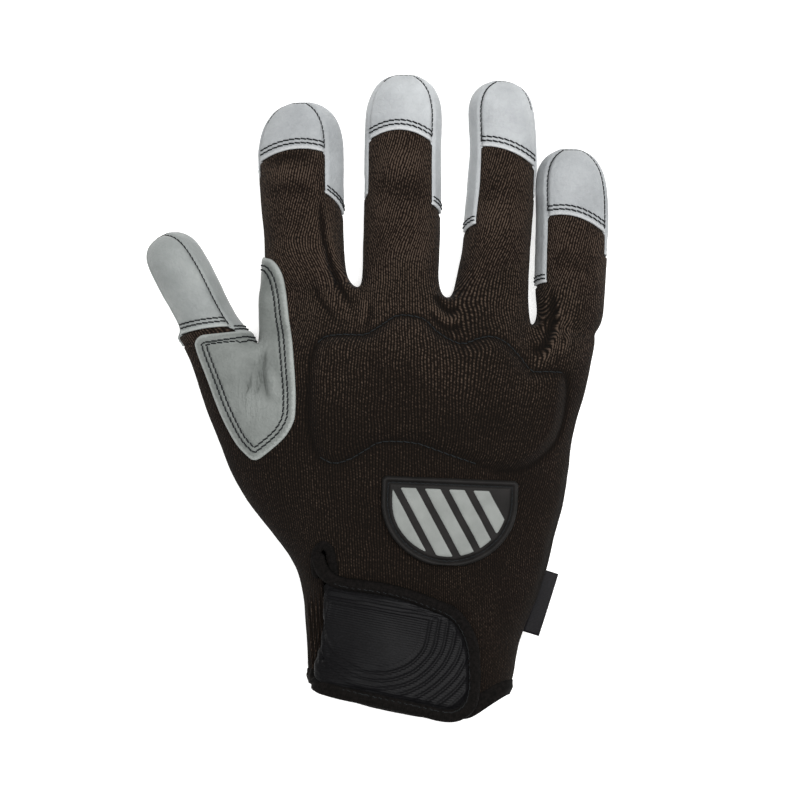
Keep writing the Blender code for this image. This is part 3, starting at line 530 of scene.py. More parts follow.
def creases(points, ways):
    """Height of the folds, of the guard's stitched groove and of the pleats at each point."""
    up = ramp(ways[:, 2] / 0.5)
    depth = within(points, guard_outline)
    height = -PAD_GROOVE[0] * bell(depth, PAD_GROOVE[1]) * up
    for fold in FOLDS:
        line = smooth_line(fold.places, 0.003)
        box_low, box_high = line.min(0) - 0.012, line.max(0) + 0.012
        near = np.all((points[:, :2] > box_low) & (points[:, :2] < box_high), axis=1) & (up > 0.0)
        gap, along = to_line(points[near], line)
        long = np.linalg.norm(np.diff(line, axis=0), axis=1).sum()
        taper = ramp(along / (0.25 * long)) * ramp((long - along) / (0.25 * long))
        rise = FOLD_DEPTH * fold.height * 0.001 * bell(gap, fold.width * 0.001)
        height[near] += rise * taper * up[near]
    left, top = spot(PLEATS[0], PLEATS[2])
    right, bottom = spot(PLEATS[1], PLEATS[3])
    x, y = points[:, 0], points[:, 1]
    share = ramp((x - left) / 0.002) * ramp((right - x) / 0.001)
    share *= ramp((top - y) / 0.008) * ramp((y - bottom) / 0.008)
    height += PLEAT_HEIGHT * np.cos((x + PLEAT_LEAN * (y - top)) * 2.0 * pi / PLEAT_PITCH) * share
    return height


def relief(points, ways):
    """How far the cloth stands in or out of the plain form at each point."""
    up = ramp(ways[:, 2] / 0.5)
    height = creases(points, ways) + PAD_RAISE * ramp(within(points, guard_outline) / PAD_SLOPE) * up
    soft = np.array([sum(noise.noise(Vector(p) * scale) * size for scale, size in SOFT_WAVES)
                     for p in points])
    return height + soft * ramp(points[:, 2] / 0.006)


def dressed_skin(level):
    """The rounded skin with its relief: points, ways out, faces and marks."""
    points, faces, marks = rounded_skin(cage, level)
    ways = ways_out(points, faces)
    points = points + ways * relief(points, ways)[:, None]
    return points, ways_out(points, faces), faces, marks


skin_points, skin_ways, skin_faces, skin_marks = dressed_skin(3)
fine_points, fine_ways, fine_faces, fine_marks = dressed_skin(4)


class Sheet:
    """A flat cut laid on the skin: its points, their ways out, and its faces."""

    def __init__(self, points, ways, faces):
        used = sorted({corner for face in faces for corner in face})
        place = {old: new for new, old in enumerate(used)}
        self.points = points[used]
        self.ways = ways[used]
        self.faces = [tuple(place[corner] for corner in face) for face in faces]

    def cut(self, line):
        """Keep what lies on the positive side of a line, given as a function of the points."""
        field = line(self.points)
        keep = (field > 0.0).tolist()
        faces = []
        fresh = {}
        for face in self.faces:
            ring = []
            for a, b in zip(face, face[1:] + face[:1]):
                if keep[a]:
                    ring.append(a)
                if keep[a] != keep[b]:
                    key = (min(a, b), max(a, b))
                    if key not in fresh:
                        fresh[key] = len(keep) + len(fresh)
                    ring.append(fresh[key])
            if len(ring) > 2:
                faces.append(tuple(ring))
        if fresh:
            pairs = np.array(list(fresh))
            low, high = field[pairs[:, 0]], field[pairs[:, 1]]
            t = (low / (low - high))[:, None]
            points, ways = (np.vstack([rows, rows[pairs[:, 0]] * (1 - t) + rows[pairs[:, 1]] * t])
                            for rows in (self.points, self.ways))
            ways /= np.linalg.norm(ways, axis=1)[:, None]
        else:
            points, ways = self.points, self.ways
        return Sheet(points, ways, faces)

    def rim(self):
        """The edges that only one face has, each from point to point."""
        edges = {(a, b) for face in self.faces for a, b in zip(face, face[1:] + face[:1])}
        return [(a, b) for a, b in edges if (b, a) not in edges]


def skin_sheet(chosen, fine=False):
    """The part of the skin whose finger and side are chosen."""
    points, ways, faces, marks = ((fine_points, fine_ways, fine_faces, fine_marks) if fine
                                  else (skin_points, skin_ways, skin_faces, skin_marks))
    take = {mark: chosen(mark // 10, mark % 10) for mark in set(marks.tolist())}
    kept = [tuple(face) for face, mark in zip(faces.tolist(), marks.tolist()) if take[mark]]
    return Sheet(points, ways, kept)


def make_object(name, points, faces, material, maps=None):
    """A smooth-shaded piece with its material and, where it has one, its own map."""
    mesh = bpy.data.meshes.new(name)
    mesh.from_pydata(points.tolist() if hasattr(points, "tolist") else points, [], faces)
    mesh.materials.append(material)
    mesh.shade_smooth()
    if maps is not None:
        label, places = maps
        corners = np.zeros(len(mesh.loops), np.int32)
        mesh.loops.foreach_get("vertex_index", corners)
        layer = mesh.uv_layers.new(name=label)
        layer.data.foreach_set("uv", np.asarray(places, float)[corners].ravel())
    piece = bpy.data.objects.new(name, mesh)
    bpy.context.scene.collection.objects.link(piece)
    return piece


def sewn_piece(name, sheet, material, top, wall, floor=0.0, roll=0.00025, maps=None):
    """Give a cut sheet its wall and its rolled edge. Top is how far its face stands off the skin."""
    count = len(sheet.points)
    top = np.broadcast_to(top, count)
    outer = sheet.points + sheet.ways * top[:, None]
    inner = sheet.points + sheet.ways * (top - wall)[:, None]
    outer[:, 2] = np.maximum(outer[:, 2], floor)
    inner[:, 2] = np.maximum(inner[:, 2], floor + wall)
    rim = sheet.rim()
    inward = np.zeros((count, 3))
    for a, b in rim:
        way = np.cross(sheet.ways[a], sheet.points[b] - sheet.points[a])
        inward[a] += way
        inward[b] += way
    edge = sorted({a for a, b in rim})
    place = {a: i for i, a in enumerate(edge)}
    inward = inward[edge] / np.maximum(np.linalg.norm(inward[edge], axis=1), 1e-12)[:, None]
    layers = [outer, inner]
    for share, bulge in ((0.2, 0.75), (0.5, 1.0), (0.8, 0.75)):
        layers.append(mix(outer[edge], inner[edge], share) - inward * roll * bulge)
    faces = list(sheet.faces) + [tuple(count + i for i in reversed(face)) for face in sheet.faces]
    start = 2 * count
    for layer in layers[2:]:
        layer[:, 2] = np.maximum(layer[:, 2], np.broadcast_to(floor, count)[edge])
    for a, b in rim:
        steps = [(a, b)]
        for layer in range(3):
            first = start + layer * len(edge)
            steps.append((first + place[a], first + place[b]))
        steps.append((count + a, count + b))
        for (a0, b0), (a1, b1) in zip(steps, steps[1:]):
            faces.append((b0, a0, a1, b1))
    if maps is not None:
        label, places = maps
        places = np.asarray(places, float)
        maps = (label, np.vstack([places, places, places[edge], places[edge], places[edge]]))
    return make_object(name, np.vstack(layers), faces, material, maps)


def on_finger(limb, points):
    """How far along a finger from its root, and how far aside of its middle, each point lies."""
    root, axis, right = hand.roots[limb.name]
    local = points[:, :2] - np.array(root)[:2]
    return local @ np.array(axis)[:2], local @ np.array(right)[:2]


def wale_map(points):
    """Where each point lies across and along the wales, which run up the hand and the fingers."""
    flat = points[:, :2] - np.array(ORIGIN)[:2]
    x, y, z = flat[:, 0], flat[:, 1], points[:, 2]
    across = x - WALE_LEAN * ramp((x - 0.005) / 0.045) * np.clip(y - 0.11, -0.05, 0.05)
    across += np.clip(x / 0.04, -1.0, 1.0) * (BODY_DEPTH - z)
    along = y.copy()
    nearest = np.full(len(points), 0.8)
    for limb in LIMBS:
        reach, aside = on_finger(limb, points)
        nearest = np.where(reach > 0.0, np.minimum(nearest, np.abs(aside) / limb.width), nearest)
    for limb in LIMBS:
        reach, aside = on_finger(limb, points)
        on = (reach > 0.0) & (np.abs(aside) / limb.width <= nearest) & (reach < limb.length * 1.1)
        reach, aside = reach[on], aside[on]
        root = hand.roots[limb.name][0] - ORIGIN
        turned = root.x + aside - WALE_LEAN * ramp(reach / 0.03) * np.maximum(0.0, reach - 0.008)
        turned += np.clip(aside / (0.3 * limb.width), -1.0, 1.0) * (limb.depth - z[on])
        share = ramp(reach / 0.022)
        across[on] = mix(across[on], turned, share)
        along[on] = mix(along[on], root.y + reach, share)
    return np.stack([across, along], axis=1)


# The knitted back and palm. Dark heather jersey of brown and black yarn, knitted with its wales up
# the hand; the back is cut in one with the fingers' backs and sewn to the palm down the sides.
KNIT_WALL = 0.0016
KNIT_DARK = "#0c0907"
KNIT_MIDDLE = "#1c1510"
KNIT_LIGHT = "#4a3e35"
WALE = 0.00116              # one column of stitches
COURSE = 0.00110            # one row of stitches
SLIT_PLACES = ((323.0, 549.0), (327.0, 600.0), (328.5, 640.0), (329.0, 722.0))
SLIT_HALF = 0.0012
DIVE_DEPTH = 0.00100        # how deep, and over what length, the knit dives under the leather's edge
DIVE_LENGTH = 0.0012
DIVE_FLOOR = 0.0013         # the palm's knit lies this far over the table where the pads lie under it
TIP_LINES = {
    "thumb": ((180, 334), (206, 328), (231, 326)),
    "index": ((260, 161), (298, 149), (324, 152)),
    "middle": ((369, 139), (399, 130), (431, 141)),
    "ring": ((480, 146), (512, 152), (537, 167)),
    "little": ((552, 215), (578, 217), (610, 236)),
}
PadLine = namedtuple("PadLine", "outline climb left right")
PAD_LINES = {               # a pad's lower edge at the outline, its climb to the seam and to either side
    "thumb": PadLine((250, 332), 0.0019, 0.0060, 0.0),
    "index": PadLine((340, 213), 0.0079, 0.0140, 0.0),
    "middle": PadLine((438, 212), 0.0034, 0.0050, 0.0),
    "ring": PadLine((467, 231), 0.0034, 0.0, 0.0150),
    "little": PadLine((541, 285), 0.0015, 0.0, 0.0120),
}


def linear(hex_colour):
    """An sRGB hex colour as the linear values that the shaders take."""
    values = []
    for start in (1, 3, 5):
        value = int(hex_colour[start:start + 2], 16) / 255.0
        values.append(value / 12.92 if value <= 0.04045 else ((value + 0.055) / 1.055) ** 2.4)
    return (*values, 1.0)


def set_inputs(tree, node, sockets):
    """Give inputs their values, or link them to a socket or to another node's first output."""
    for socket, value in sockets.items():
        if isinstance(value, bpy.types.Node):
            value = value.outputs[0]
        if isinstance(value, bpy.types.NodeSocket):
            tree.links.new(value, node.inputs[socket])
        else:
            node.inputs[socket].default_value = value


def add_node(tree, kind, sockets=None, **settings):
    """Add a node, set its settings, and set or link its inputs."""
    made = tree.nodes.new("ShaderNode" + kind)
    for setting, value in settings.items():
        setattr(made, setting, value)
    set_inputs(tree, made, sockets or {})
    return made


def new_material(name, **values):
    """A material with its shader, and the shader's own plain values."""
    made = bpy.data.materials.new(name)
    made.use_nodes = True
    shader = made.node_tree.nodes["Principled BSDF"]
    for socket, value in values.items():
        shader.inputs[socket.replace("_", " ")].default_value = value
    return made, made.node_tree, shader


def colour_steps(tree, value, *steps):
    """A ramp through hex colours at the given places."""
    made = add_node(tree, "ValToRGB", {"Fac": value})
    elements = made.color_ramp.elements
    while len(elements) < len(steps):
        elements.new(0.5)
    for element, (place, colour) in zip(elements, steps):
        element.position = place
        element.color = linear(colour)
    return made.outputs["Color"]


def wool_jersey():
    """Knitted jersey, matt and dark: stitches beaded in columns, each catching its own light; painted light
    up the fingers and painted shade in its folds.
    """
    made, tree, shader = new_material("knitted_jersey", Roughness=0.95, Sheen_Weight=0.02,
                                      Sheen_Roughness=0.5, Specular_IOR_Level=0.07)
    place = add_node(tree, "UVMap", uv_map="WaleMap")
    split = add_node(tree, "SeparateXYZ", {0: place})
    wander = add_node(tree, "TexNoise", {"Vector": place, "Scale": 120.0, "Detail": 1.0})
    lean = add_node(tree, "Math", {0: wander, 1: 0.0016, 2: split.outputs["X"]}, operation="MULTIPLY_ADD")
    wale = add_node(tree, "Math", {0: lean, 1: 2.0 * pi / WALE}, operation="MULTIPLY")
    column = add_node(tree, "Math", {0: wale}, operation="COSINE")
    course = add_node(tree, "Math", {0: split.outputs["Y"], 1: 2.0 * pi / COURSE}, operation="MULTIPLY")
    slant = add_node(tree, "Math", {0: wale, 1: 0.5, 2: course}, operation="MULTIPLY_ADD")
    row = add_node(tree, "Math", {0: slant}, operation="COSINE")
    ridge = add_node(tree, "Math", {0: column, 1: 0.5, 2: 0.5}, operation="MULTIPLY_ADD")
    bead = add_node(tree, "Math", {0: row, 1: 0.20, 2: 0.80}, operation="MULTIPLY_ADD")
    stitch = add_node(tree, "Math", {0: ridge, 1: bead}, operation="MULTIPLY")
    speckle = add_node(tree, "TexNoise", {"Vector": place, "Scale": 1000.0, "Detail": 1.0})
    cloud = add_node(tree, "TexNoise", {"Vector": place, "Scale": 45.0, "Detail": 3.0})
    uneven = add_node(tree, "MapRange", {0: speckle, 1: 0.34, 2: 0.72, 3: 0.40, 4: 1.50})
    lit = add_node(tree, "Math", {0: stitch, 1: uneven}, operation="MULTIPLY")
    spot_on = add_node(tree, "SeparateXYZ", {0: add_node(tree, "TexCoord").outputs["Object"]})
    # Painted light: the jersey is made paler up the fingers, where more light falls, and darker down the back
    # of the hand toward the cuff.
    stretch = add_node(tree, "MapRange", {0: spot_on.outputs["Y"], 1: -0.01, 2: 0.055, 3: 0.54, 4: 1.24})
    worn = add_node(tree, "MapRange", {0: cloud, 1: 0.3, 2: 0.7, 3: 0.75, 4: 1.15})
    tone = add_node(tree, "Math", {0: lit, 1: stretch}, operation="MULTIPLY")
    tone = add_node(tree, "Math", {0: tone, 1: worn}, operation="MULTIPLY")
    # Painted shade and painted light on the folds: the jersey darker in their valleys and paler on their
    # crests, by the height of the relief.
    crest = add_node(tree, "Attribute", attribute_name="crest").outputs["Fac"]
    painted_fold_shading = add_node(tree, "MapRange", {0: crest, 1: -0.0006, 2: 0.0005, 3: 0.30, 4: 1.75})
    tone = add_node(tree, "Math", {0: tone, 1: painted_fold_shading}, operation="MULTIPLY")
    colour = colour_steps(tree, tone, (0.0, KNIT_DARK), (0.38, KNIT_MIDDLE), (1.0, KNIT_LIGHT))
    bump = add_node(tree, "Bump", {"Height": stitch, "Strength": 0.8, "Distance": 0.00030})
    set_inputs(tree, shader, {"Base Color": colour, "Normal": bump})
    return made


def tip_field(limb):
    """How far a point lies past the lower edge of a finger's back tip."""
    along, aside = on_finger(limb, np.array([spot(*place) for place in TIP_LINES[limb.name]]))
    curve = np.polyfit(aside, along, 2)

    def field(points):
        along, aside = on_finger(limb, points)
        return along - np.polyval(curve, np.clip(aside, -0.55 * limb.width, 0.55 * limb.width))
    return field


def pad_field(limb):
    """How far a point lies past the lower edge of a finger's pad."""
    line = PAD_LINES[limb.name]
    start = on_finger(limb, np.array([spot(*line.outline)]))[0][0]
    middle = limb.depth / 2.0 - FINGER_SINK

    def field(points):
        along, aside = on_finger(limb, points)
        rise = np.clip((points[:, 2] - middle) / (0.4 * limb.depth), 0.0, 1.0)
        turn = 2.2 * aside / limb.width
        return along - start - line.climb * rise - line.left * ramp(-turn) - line.right * ramp(turn)
    return field


jersey = wool_jersey()
slit_line = smooth_line(SLIT_PLACES)
tip_fields = [tip_field(limb) for limb in LIMBS]
pad_fields = [pad_field(limb) for limb in LIMBS]


def past_leather(points, fields):
    """How far a point has run on under its own finger's leather edge; far below zero off the fingers."""
    past = np.full(len(points), -1.0)
    nearest = np.full(len(points), 0.8)
    for limb, field in zip(LIMBS, fields):
        along, aside = on_finger(limb, points)
        aside = np.abs(aside) / limb.width
        on = (along > 0.0) & (aside < nearest)
        nearest[on] = aside[on]
        past[on] = field(points)[on]
    return past


def under_leather(points, fields):
    """How far the knit has dived under the leather's edge, from nothing to one."""
    return ramp((past_leather(points, fields) + DIVE_LENGTH) / DIVE_LENGTH)


def mark(piece, label, values):
    """Store a value at each point of a piece's face, and none inside it, for its material to read."""
    padded = np.zeros(len(piece.data.vertices))
    padded[:len(values)] = values
    piece.data.attributes.new(label, "FLOAT", "POINT").data.foreach_set("value", padded)


back_sheet = skin_sheet(lambda finger, side: side == BACK)
back_sheet = back_sheet.cut(lambda points: LAP * 0.8 - past_leather(points, tip_fields))
back_sheet = back_sheet.cut(lambda points: to_line(points, slit_line)[0] - SLIT_HALF)
back_dive = under_leather(back_sheet.points, tip_fields)
back_cloth = sewn_piece("back_cloth", back_sheet, jersey, -DIVE_DEPTH * back_dive, KNIT_WALL,
                        maps=("WaleMap", wale_map(back_sheet.points)))
palm_sheet = skin_sheet(lambda finger, side: side != BACK)
palm_sheet = palm_sheet.cut(lambda points: LAP * 0.8 - past_leather(points, pad_fields))
palm_dive = under_leather(palm_sheet.points, pad_fields)
palm_cloth = sewn_piece("palm_cloth", palm_sheet, jersey, -DIVE_DEPTH * palm_dive, KNIT_WALL,
                        floor=DIVE_FLOOR * palm_dive, maps=("WaleMap", wale_map(palm_sheet.points)))
for cloth, sheet, node in ((back_cloth, back_sheet, "back_panel"), (palm_cloth, palm_sheet, "palm_panel")):
    mark(cloth, "crest", creases(sheet.points, sheet.ways))
    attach(cloth, "root")
    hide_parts(node)

# The leather of the fingertips and the thumb. Pale grey grain leather, cut in a cap over each nail
# and a pad round the rest, closed by a turned seam and lapped over the knit with two rows of thread.
LEATHER_WALL = 0.0010
LEATHER_STEP = 0.0004
PRESSED = 0.00015           # the pads' leather lies this far over the table, their thread on it
LeatherTone = namedtuple("LeatherTone", "deep middle pale raw")
PAINTED_SHADE_TIP_TONES = {               # painted shade: the thumb darkest, the index and little finger darker than the middle and ring, as the light falls
    "thumb": LeatherTone("#686c6a", "#7e8281", "#8b8f8d", "#949896"),
    "index": LeatherTone("#76797b", "#929597", "#a1a4a6", "#a8aaab"),
    "middle": LeatherTone("#84878a", "#a0a3a5", "#b0b3b5", "#b3b5b6"),
    "ring": LeatherTone("#84878a", "#a0a3a5", "#b0b3b5", "#b3b5b6"),
    "little": LeatherTone("#76797b", "#929597", "#a1a4a6", "#a8aaab"),
}
# The saddle's tones are darker than the fingers': painted shade over the fork of the thumb.
SADDLE_PAINTED_SHADE_TONE = LeatherTone("#4e524f", "#6c706d", "#7b7f7c", "#8d918e")
THREAD_DARK = "#0c0d0e"
THREAD_COLOUR = "#1e2224"
ROW_PITCH = 0.0022
ROW_SINK = (0.00020, 0.00045)       # depth and width of the dent along a row of stitches
ROW_PUFF = (0.00010, 0.0005)        # height and width of the leather's swell between two rows
TURNED_FALL = (0.00055, 0.0008)     # depth and width of the leather's fall to its turned seam
TURNED_SWELL = (0.00012, 0.0016)    # height of the swell beside the seam, and how far from it
FAR_SINK = 0.00035
THREAD_RADIUS = 0.00030
SEAM_SHOWS = {              # between which sides, in finger widths from its middle, a cap's seam thread shows
    "thumb": (-0.36, 1.0),
    "index": (-0.36, 1.0),
    "middle": (-0.30, 1.0),
    "ring": (-1.0, 0.36),
    "little": (-1.0, 1.0),
}
Cut = namedtuple("Cut", "width length area")
CAP_CUTS = {                # the flat leather of each cap and pad, in metres and square metres
    "thumb": Cut(0.021, 0.040, 0.00080),
    "index": Cut(0.025, 0.023, 0.00050),
    "middle": Cut(0.025, 0.026, 0.00060),
    "ring": Cut(0.022, 0.033, 0.00065),
    "little": Cut(0.023, 0.032, 0.00063),
}
PAD_CUTS = {
    "thumb": Cut(0.046, 0.056, 0.0021),
    "index": Cut(0.046, 0.058, 0.0023),
    "middle": Cut(0.044, 0.068, 0.0027),
    "ring": Cut(0.041, 0.074, 0.0027),
    "little": Cut(0.042, 0.067, 0.0025),
}
CAP_ROWS = (0.0019, 0.0034)
PAD_ROWS = (0.0014, 0.0028)


def far_side(limb, points):
    """How far round a point lies to the side on which the pad's edge climbs out of sight."""
    aside = on_finger(limb, points)[1]
    return ramp((aside if PAD_LINES[limb.name].right > 0.0 else -aside) * 3.0 / limb.width - 0.4)


def grain_leather(name, tones):
    """Drum-dyed grain leather: soft sheen, fine pebbling, faint mottling, painted shade in its folds, and a
    paler fuzzy raw edge.
    """
    made, tree, shader = new_material(name, Roughness=0.55, Sheen_Weight=0.03, Sheen_Roughness=0.5,
                                      Specular_IOR_Level=0.35)
    place = add_node(tree, "TexCoord").outputs["Object"]
    pores = add_node(tree, "TexVoronoi", {"Vector": place, "Scale": 1250.0, "Randomness": 1.0},
                     feature="SMOOTH_F1")
    wrinkle = add_node(tree, "TexNoise", {"Vector": place, "Scale": 620.0, "Detail": 4.0, "Distortion": 0.8})
    cloud = add_node(tree, "TexNoise", {"Vector": place, "Scale": 75.0, "Detail": 4.0, "Roughness": 0.6})
    tone = add_node(tree, "Math", {0: wrinkle, 1: 0.30, 2: cloud}, operation="MULTIPLY_ADD")
    # Painted shade and painted light on the folds: the leather darker in their valleys and paler on their
    # crests.
    crest = add_node(tree, "Attribute", attribute_name="crest").outputs["Fac"]
    tone = add_node(tree, "Math", {0: crest, 1: 300.0, 2: tone}, operation="MULTIPLY_ADD")
    body = colour_steps(tree, tone, (0.12, tones.deep), (0.62, tones.middle), (0.95, tones.pale))
    edge = add_node(tree, "Attribute", attribute_name="from_edge").outputs["Fac"]
    hairs = add_node(tree, "TexNoise", {"Vector": place, "Scale": 1100.0, "Detail": 3.0})
    fuzz = add_node(tree, "Math", {0: hairs, 1: 0.0018, 2: edge}, operation="MULTIPLY_ADD")
    band = add_node(tree, "MapRange", {0: fuzz, 1: 0.0013, 2: 0.0022, 3: 0.9, 4: 0.0})
    colour = add_node(tree, "Mix", {0: band, 6: body, 7: linear(tones.raw)}, data_type="RGBA").outputs[2]
    height = add_node(tree, "Math", {0: pores, 1: 0.5, 2: wrinkle}, operation="MULTIPLY_ADD")
    worn = add_node(tree, "Attribute", attribute_name="worn").outputs["Fac"]
    drawn = add_node(tree, "Mapping",
                     {"Vector": place, "Rotation": (0.0, 0.0, radians(50)), "Scale": (1.0, 0.22, 1.0)})
    lines = add_node(tree, "TexNoise", {"Vector": drawn, "Scale": 900.0, "Detail": 2.0})
    ridges = add_node(tree, "Math", {0: lines, 1: worn}, operation="MULTIPLY")
    height = add_node(tree, "Math", {0: ridges, 1: 3.0, 2: height}, operation="MULTIPLY_ADD")
    bump = add_node(tree, "Bump", {"Height": height, "Strength": 0.65, "Distance": 0.00040})
    set_inputs(tree, shader, {"Base Color": colour, "Normal": bump})
    return made


def waxed_thread():
    """Twisted polyester thread: dark, with a slight gloss along its crown."""
    made, tree, shader = new_material("sewing_thread", Roughness=0.7, Specular_IOR_Level=0.2)
    place = add_node(tree, "TexCoord").outputs["Object"]
    twist = add_node(tree, "TexNoise", {"Vector": place, "Scale": 2600.0})
    colour = colour_steps(tree, twist, (0.3, THREAD_DARK), (0.7, THREAD_COLOUR))
    set_inputs(tree, shader, {"Base Color": colour})
    return made


def contour(sheet, field, level):
    """Lines on a sheet along which a field has one value: their points and ways out."""
    value = field - level
    over = (value > 0.0).tolist()
    links = {}
    places = {}
    for face in sheet.faces:
        hits = []
        for a, b in zip(face, face[1:] + face[:1]):
            if over[a] != over[b]:
                key = (min(a, b), max(a, b))
                t = value[key[0]] / (value[key[0]] - value[key[1]])
                places[key] = (mix(sheet.points[key[0]], sheet.points[key[1]], t),
                               mix(sheet.ways[key[0]], sheet.ways[key[1]], t))
                hits.append(key)
        if len(hits) == 2:
            links.setdefault(hits[0], []).append(hits[1])
            links.setdefault(hits[1], []).append(hits[0])
    lines = []
    left = set(links)
    while left:
        start = min((key for key in left if len(links[key]) == 1), default=None)
        start = min(left) if start is None else start
        chain = [start]
        left.discard(start)
        while True:
            onward = [key for key in links[chain[-1]] if key in left]
            if not onward:
                break
            chain.append(onward[0])
            left.discard(onward[0])
        if len(chain) > 3:
            points, ways = zip(*[places[key] for key in chain])
            lines.append((np.array(points), np.array(ways)))
    return lines


def tube_faces(rings, sides, start=0):
    """Faces of a closed tube of rings of points, with its two ends."""
    faces = []
    for ring in range(rings - 1):
        for turn in range(sides):
            a = start + ring * sides + turn
            b = start + ring * sides + (turn + 1) % sides
            faces.append((a, b, b + sides, a + sides))
    faces.append(tuple(start + turn for turn in reversed(range(sides))))
    faces.append(tuple(start + (rings - 1) * sides + turn for turn in range(sides)))
    return faces


def stitch_net(line, ways, lift, pitch=ROW_PITCH, radius=THREAD_RADIUS, fill=0.97):
    """Points and faces of a row of stitches: each a short rounded length whose ends dive into the cloth."""
    run = run_along(line)
    count = int(run[-1] / pitch)
    if count < 1:
        return np.zeros((0, 3)), []
    offset = (run[-1] - count * pitch) / 2.0
    shares = np.array([-0.5, -0.45, -0.25, 0.25, 0.45, 0.5])
    rises = np.array([-1.2, 0.2, 0.9, 0.9, 0.2, -1.2])
    sizes = np.array([0.55, 0.95, 1.0, 1.0, 0.95, 0.55])
    sides = 6
    points = []
    faces = []
    for number in range(count):
        middle = offset + (number + 0.5) * pitch
        base = len(points)
        for share, rise, size in zip(shares, rises, sizes):
            at = middle + share * pitch * fill
            centre = np.array([np.interp(at, run, line[:, k]) for k in range(3)])
            up = np.array([np.interp(at, run, ways[:, k]) for k in range(3)])
            ahead = np.array([np.interp(at + 0.0004, run, line[:, k]) for k in range(3)])
            behind = np.array([np.interp(at - 0.0004, run, line[:, k]) for k in range(3)])
            along = (ahead - behind) / max(np.linalg.norm(ahead - behind), 1e-9)
            side = np.cross(along, up)
            side /= max(np.linalg.norm(side), 1e-9)
            centre = centre + up * (lift + rise * radius * 0.6) + side * share * radius * 1.1
            for turn in range(sides):
                angle = 2.0 * pi * turn / sides
                points.append(centre + (side * cos(angle) + up * sin(angle)) * radius * size)
        faces += tube_faces(len(shares), sides, base)
    return np.array(points), faces


def join_rows(name, rows, material):
    """One piece from many rows of stitches."""
    points = []
    faces = []
    start = 0
    for row_points, row_faces in rows:
        points.append(row_points)
        faces += [tuple(start + corner for corner in face) for face in row_faces]
        start += len(row_points)
    points = np.vstack(points)
    points[:, 2] = np.maximum(points[:, 2], 0.0)
    return make_object(name, points, faces, material)


def nearest_gap(points, places):
    """How far each point lies from the nearest of some places."""
    tree = KDTree(len(places))
    for i, place in enumerate(places):
        tree.insert(place, i)
    tree.balance()
    return np.array([tree.find(point)[2] for point in points])


def ordered_rim(sheet, keep):
    """The chosen part of the rim as one run of points from end to end."""
    after = {a: b for a, b in sheet.rim() if keep[a] and keep[b]}
    first = next(iter(set(after) - set(after.values())), next(iter(after)))
    chain = [first]
    while chain[-1] in after and len(chain) <= len(after):
        chain.append(after[chain[-1]])
    return chain


thread = waxed_thread()
cap_rows = []
pad_rows = []
seam_rows = []
for number, limb in enumerate(LIMBS):
    leather = grain_leather(f"grain_leather_{limb.name}", PAINTED_SHADE_TIP_TONES[limb.name])
    for kind, fields, rows in (("cap", tip_fields, CAP_ROWS), ("pad", pad_fields, PAD_ROWS)):
        field = fields[number]
        sheet = skin_sheet(lambda finger, side: finger == number + 2 and (side == BACK) == (kind == "cap"),
                           fine=True)
        sheet = sheet.cut(field)
        past = field(sheet.points)
        sewn = sorted({a for a, b in sheet.rim() if past[a] > 0.0004})
        seam = nearest_gap(sheet.points, sheet.points[sewn])
        top = LEATHER_STEP - TURNED_FALL[0] * bell(seam, TURNED_FALL[1])
        top = top + TURNED_SWELL[0] * bell(seam - TURNED_SWELL[1], TURNED_FALL[1])
        away = far_side(limb, sheet.points) * (kind == "pad")
        top = top - FAR_SINK * away * ramp((0.0100 - past) / 0.0050)
        for row in rows:
            top = top - ROW_SINK[0] * bell(past - row, ROW_SINK[1])
        middle = 0.5 * (rows[0] + rows[1])
        top = top + ROW_PUFF[0] * bell(past - middle, ROW_PUFF[1])
        piece = sewn_piece(f"{limb.name}_{kind}_leather", sheet, leather, top, LEATHER_WALL,
                           floor=PRESSED if kind == "pad" else 0.0)
        mark(piece, "from_edge", past)
        mark(piece, "crest", creases(sheet.points, sheet.ways))
        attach(piece, "root")
        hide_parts(f"{limb.name}_back_tip" if kind == "cap" else f"{limb.name}_pad")
        cut = (CAP_CUTS if kind == "cap" else PAD_CUTS)[limb.name]
        for row in rows:
            for line, ways in contour(sheet, past, row):
                line[:, 2] = np.maximum(line[:, 2], 0.0004)
                away = far_side(limb, line) * (kind == "pad")
                line = line - ways * 0.0012 * away[:, None]
                net = stitch_net(line, ways, LEATHER_STEP - 0.00008)
                (cap_rows if kind == "cap" else pad_rows).append(net)
        if kind == "cap":
            chain = ordered_rim(sheet, past > 0.0006)
            aside = on_finger(limb, sheet.points[chain])[1] / limb.width
            shown = (aside > SEAM_SHOWS[limb.name][0]) & (aside < SEAM_SHOWS[limb.name][1])
            chain = [a for a, seen in zip(chain, shown) if seen]
            line = sheet.points[chain]
            inward = np.cross(sheet.ways[chain], np.gradient(line, axis=0))
            inward /= np.maximum(np.linalg.norm(inward, axis=1), 1e-9)[:, None]
            seam_rows.append(stitch_net(line + inward * 0.0002, sheet.ways[chain], LEATHER_STEP - 0.00036,
                                        pitch=0.0018, radius=0.00022, fill=0.96))
cap_stitching = join_rows("cap_stitching", cap_rows + seam_rows, thread)
pad_stitching = join_rows("pad_stitching", pad_rows, thread)
for piece in (cap_stitching, pad_stitching):
    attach(piece, "root")

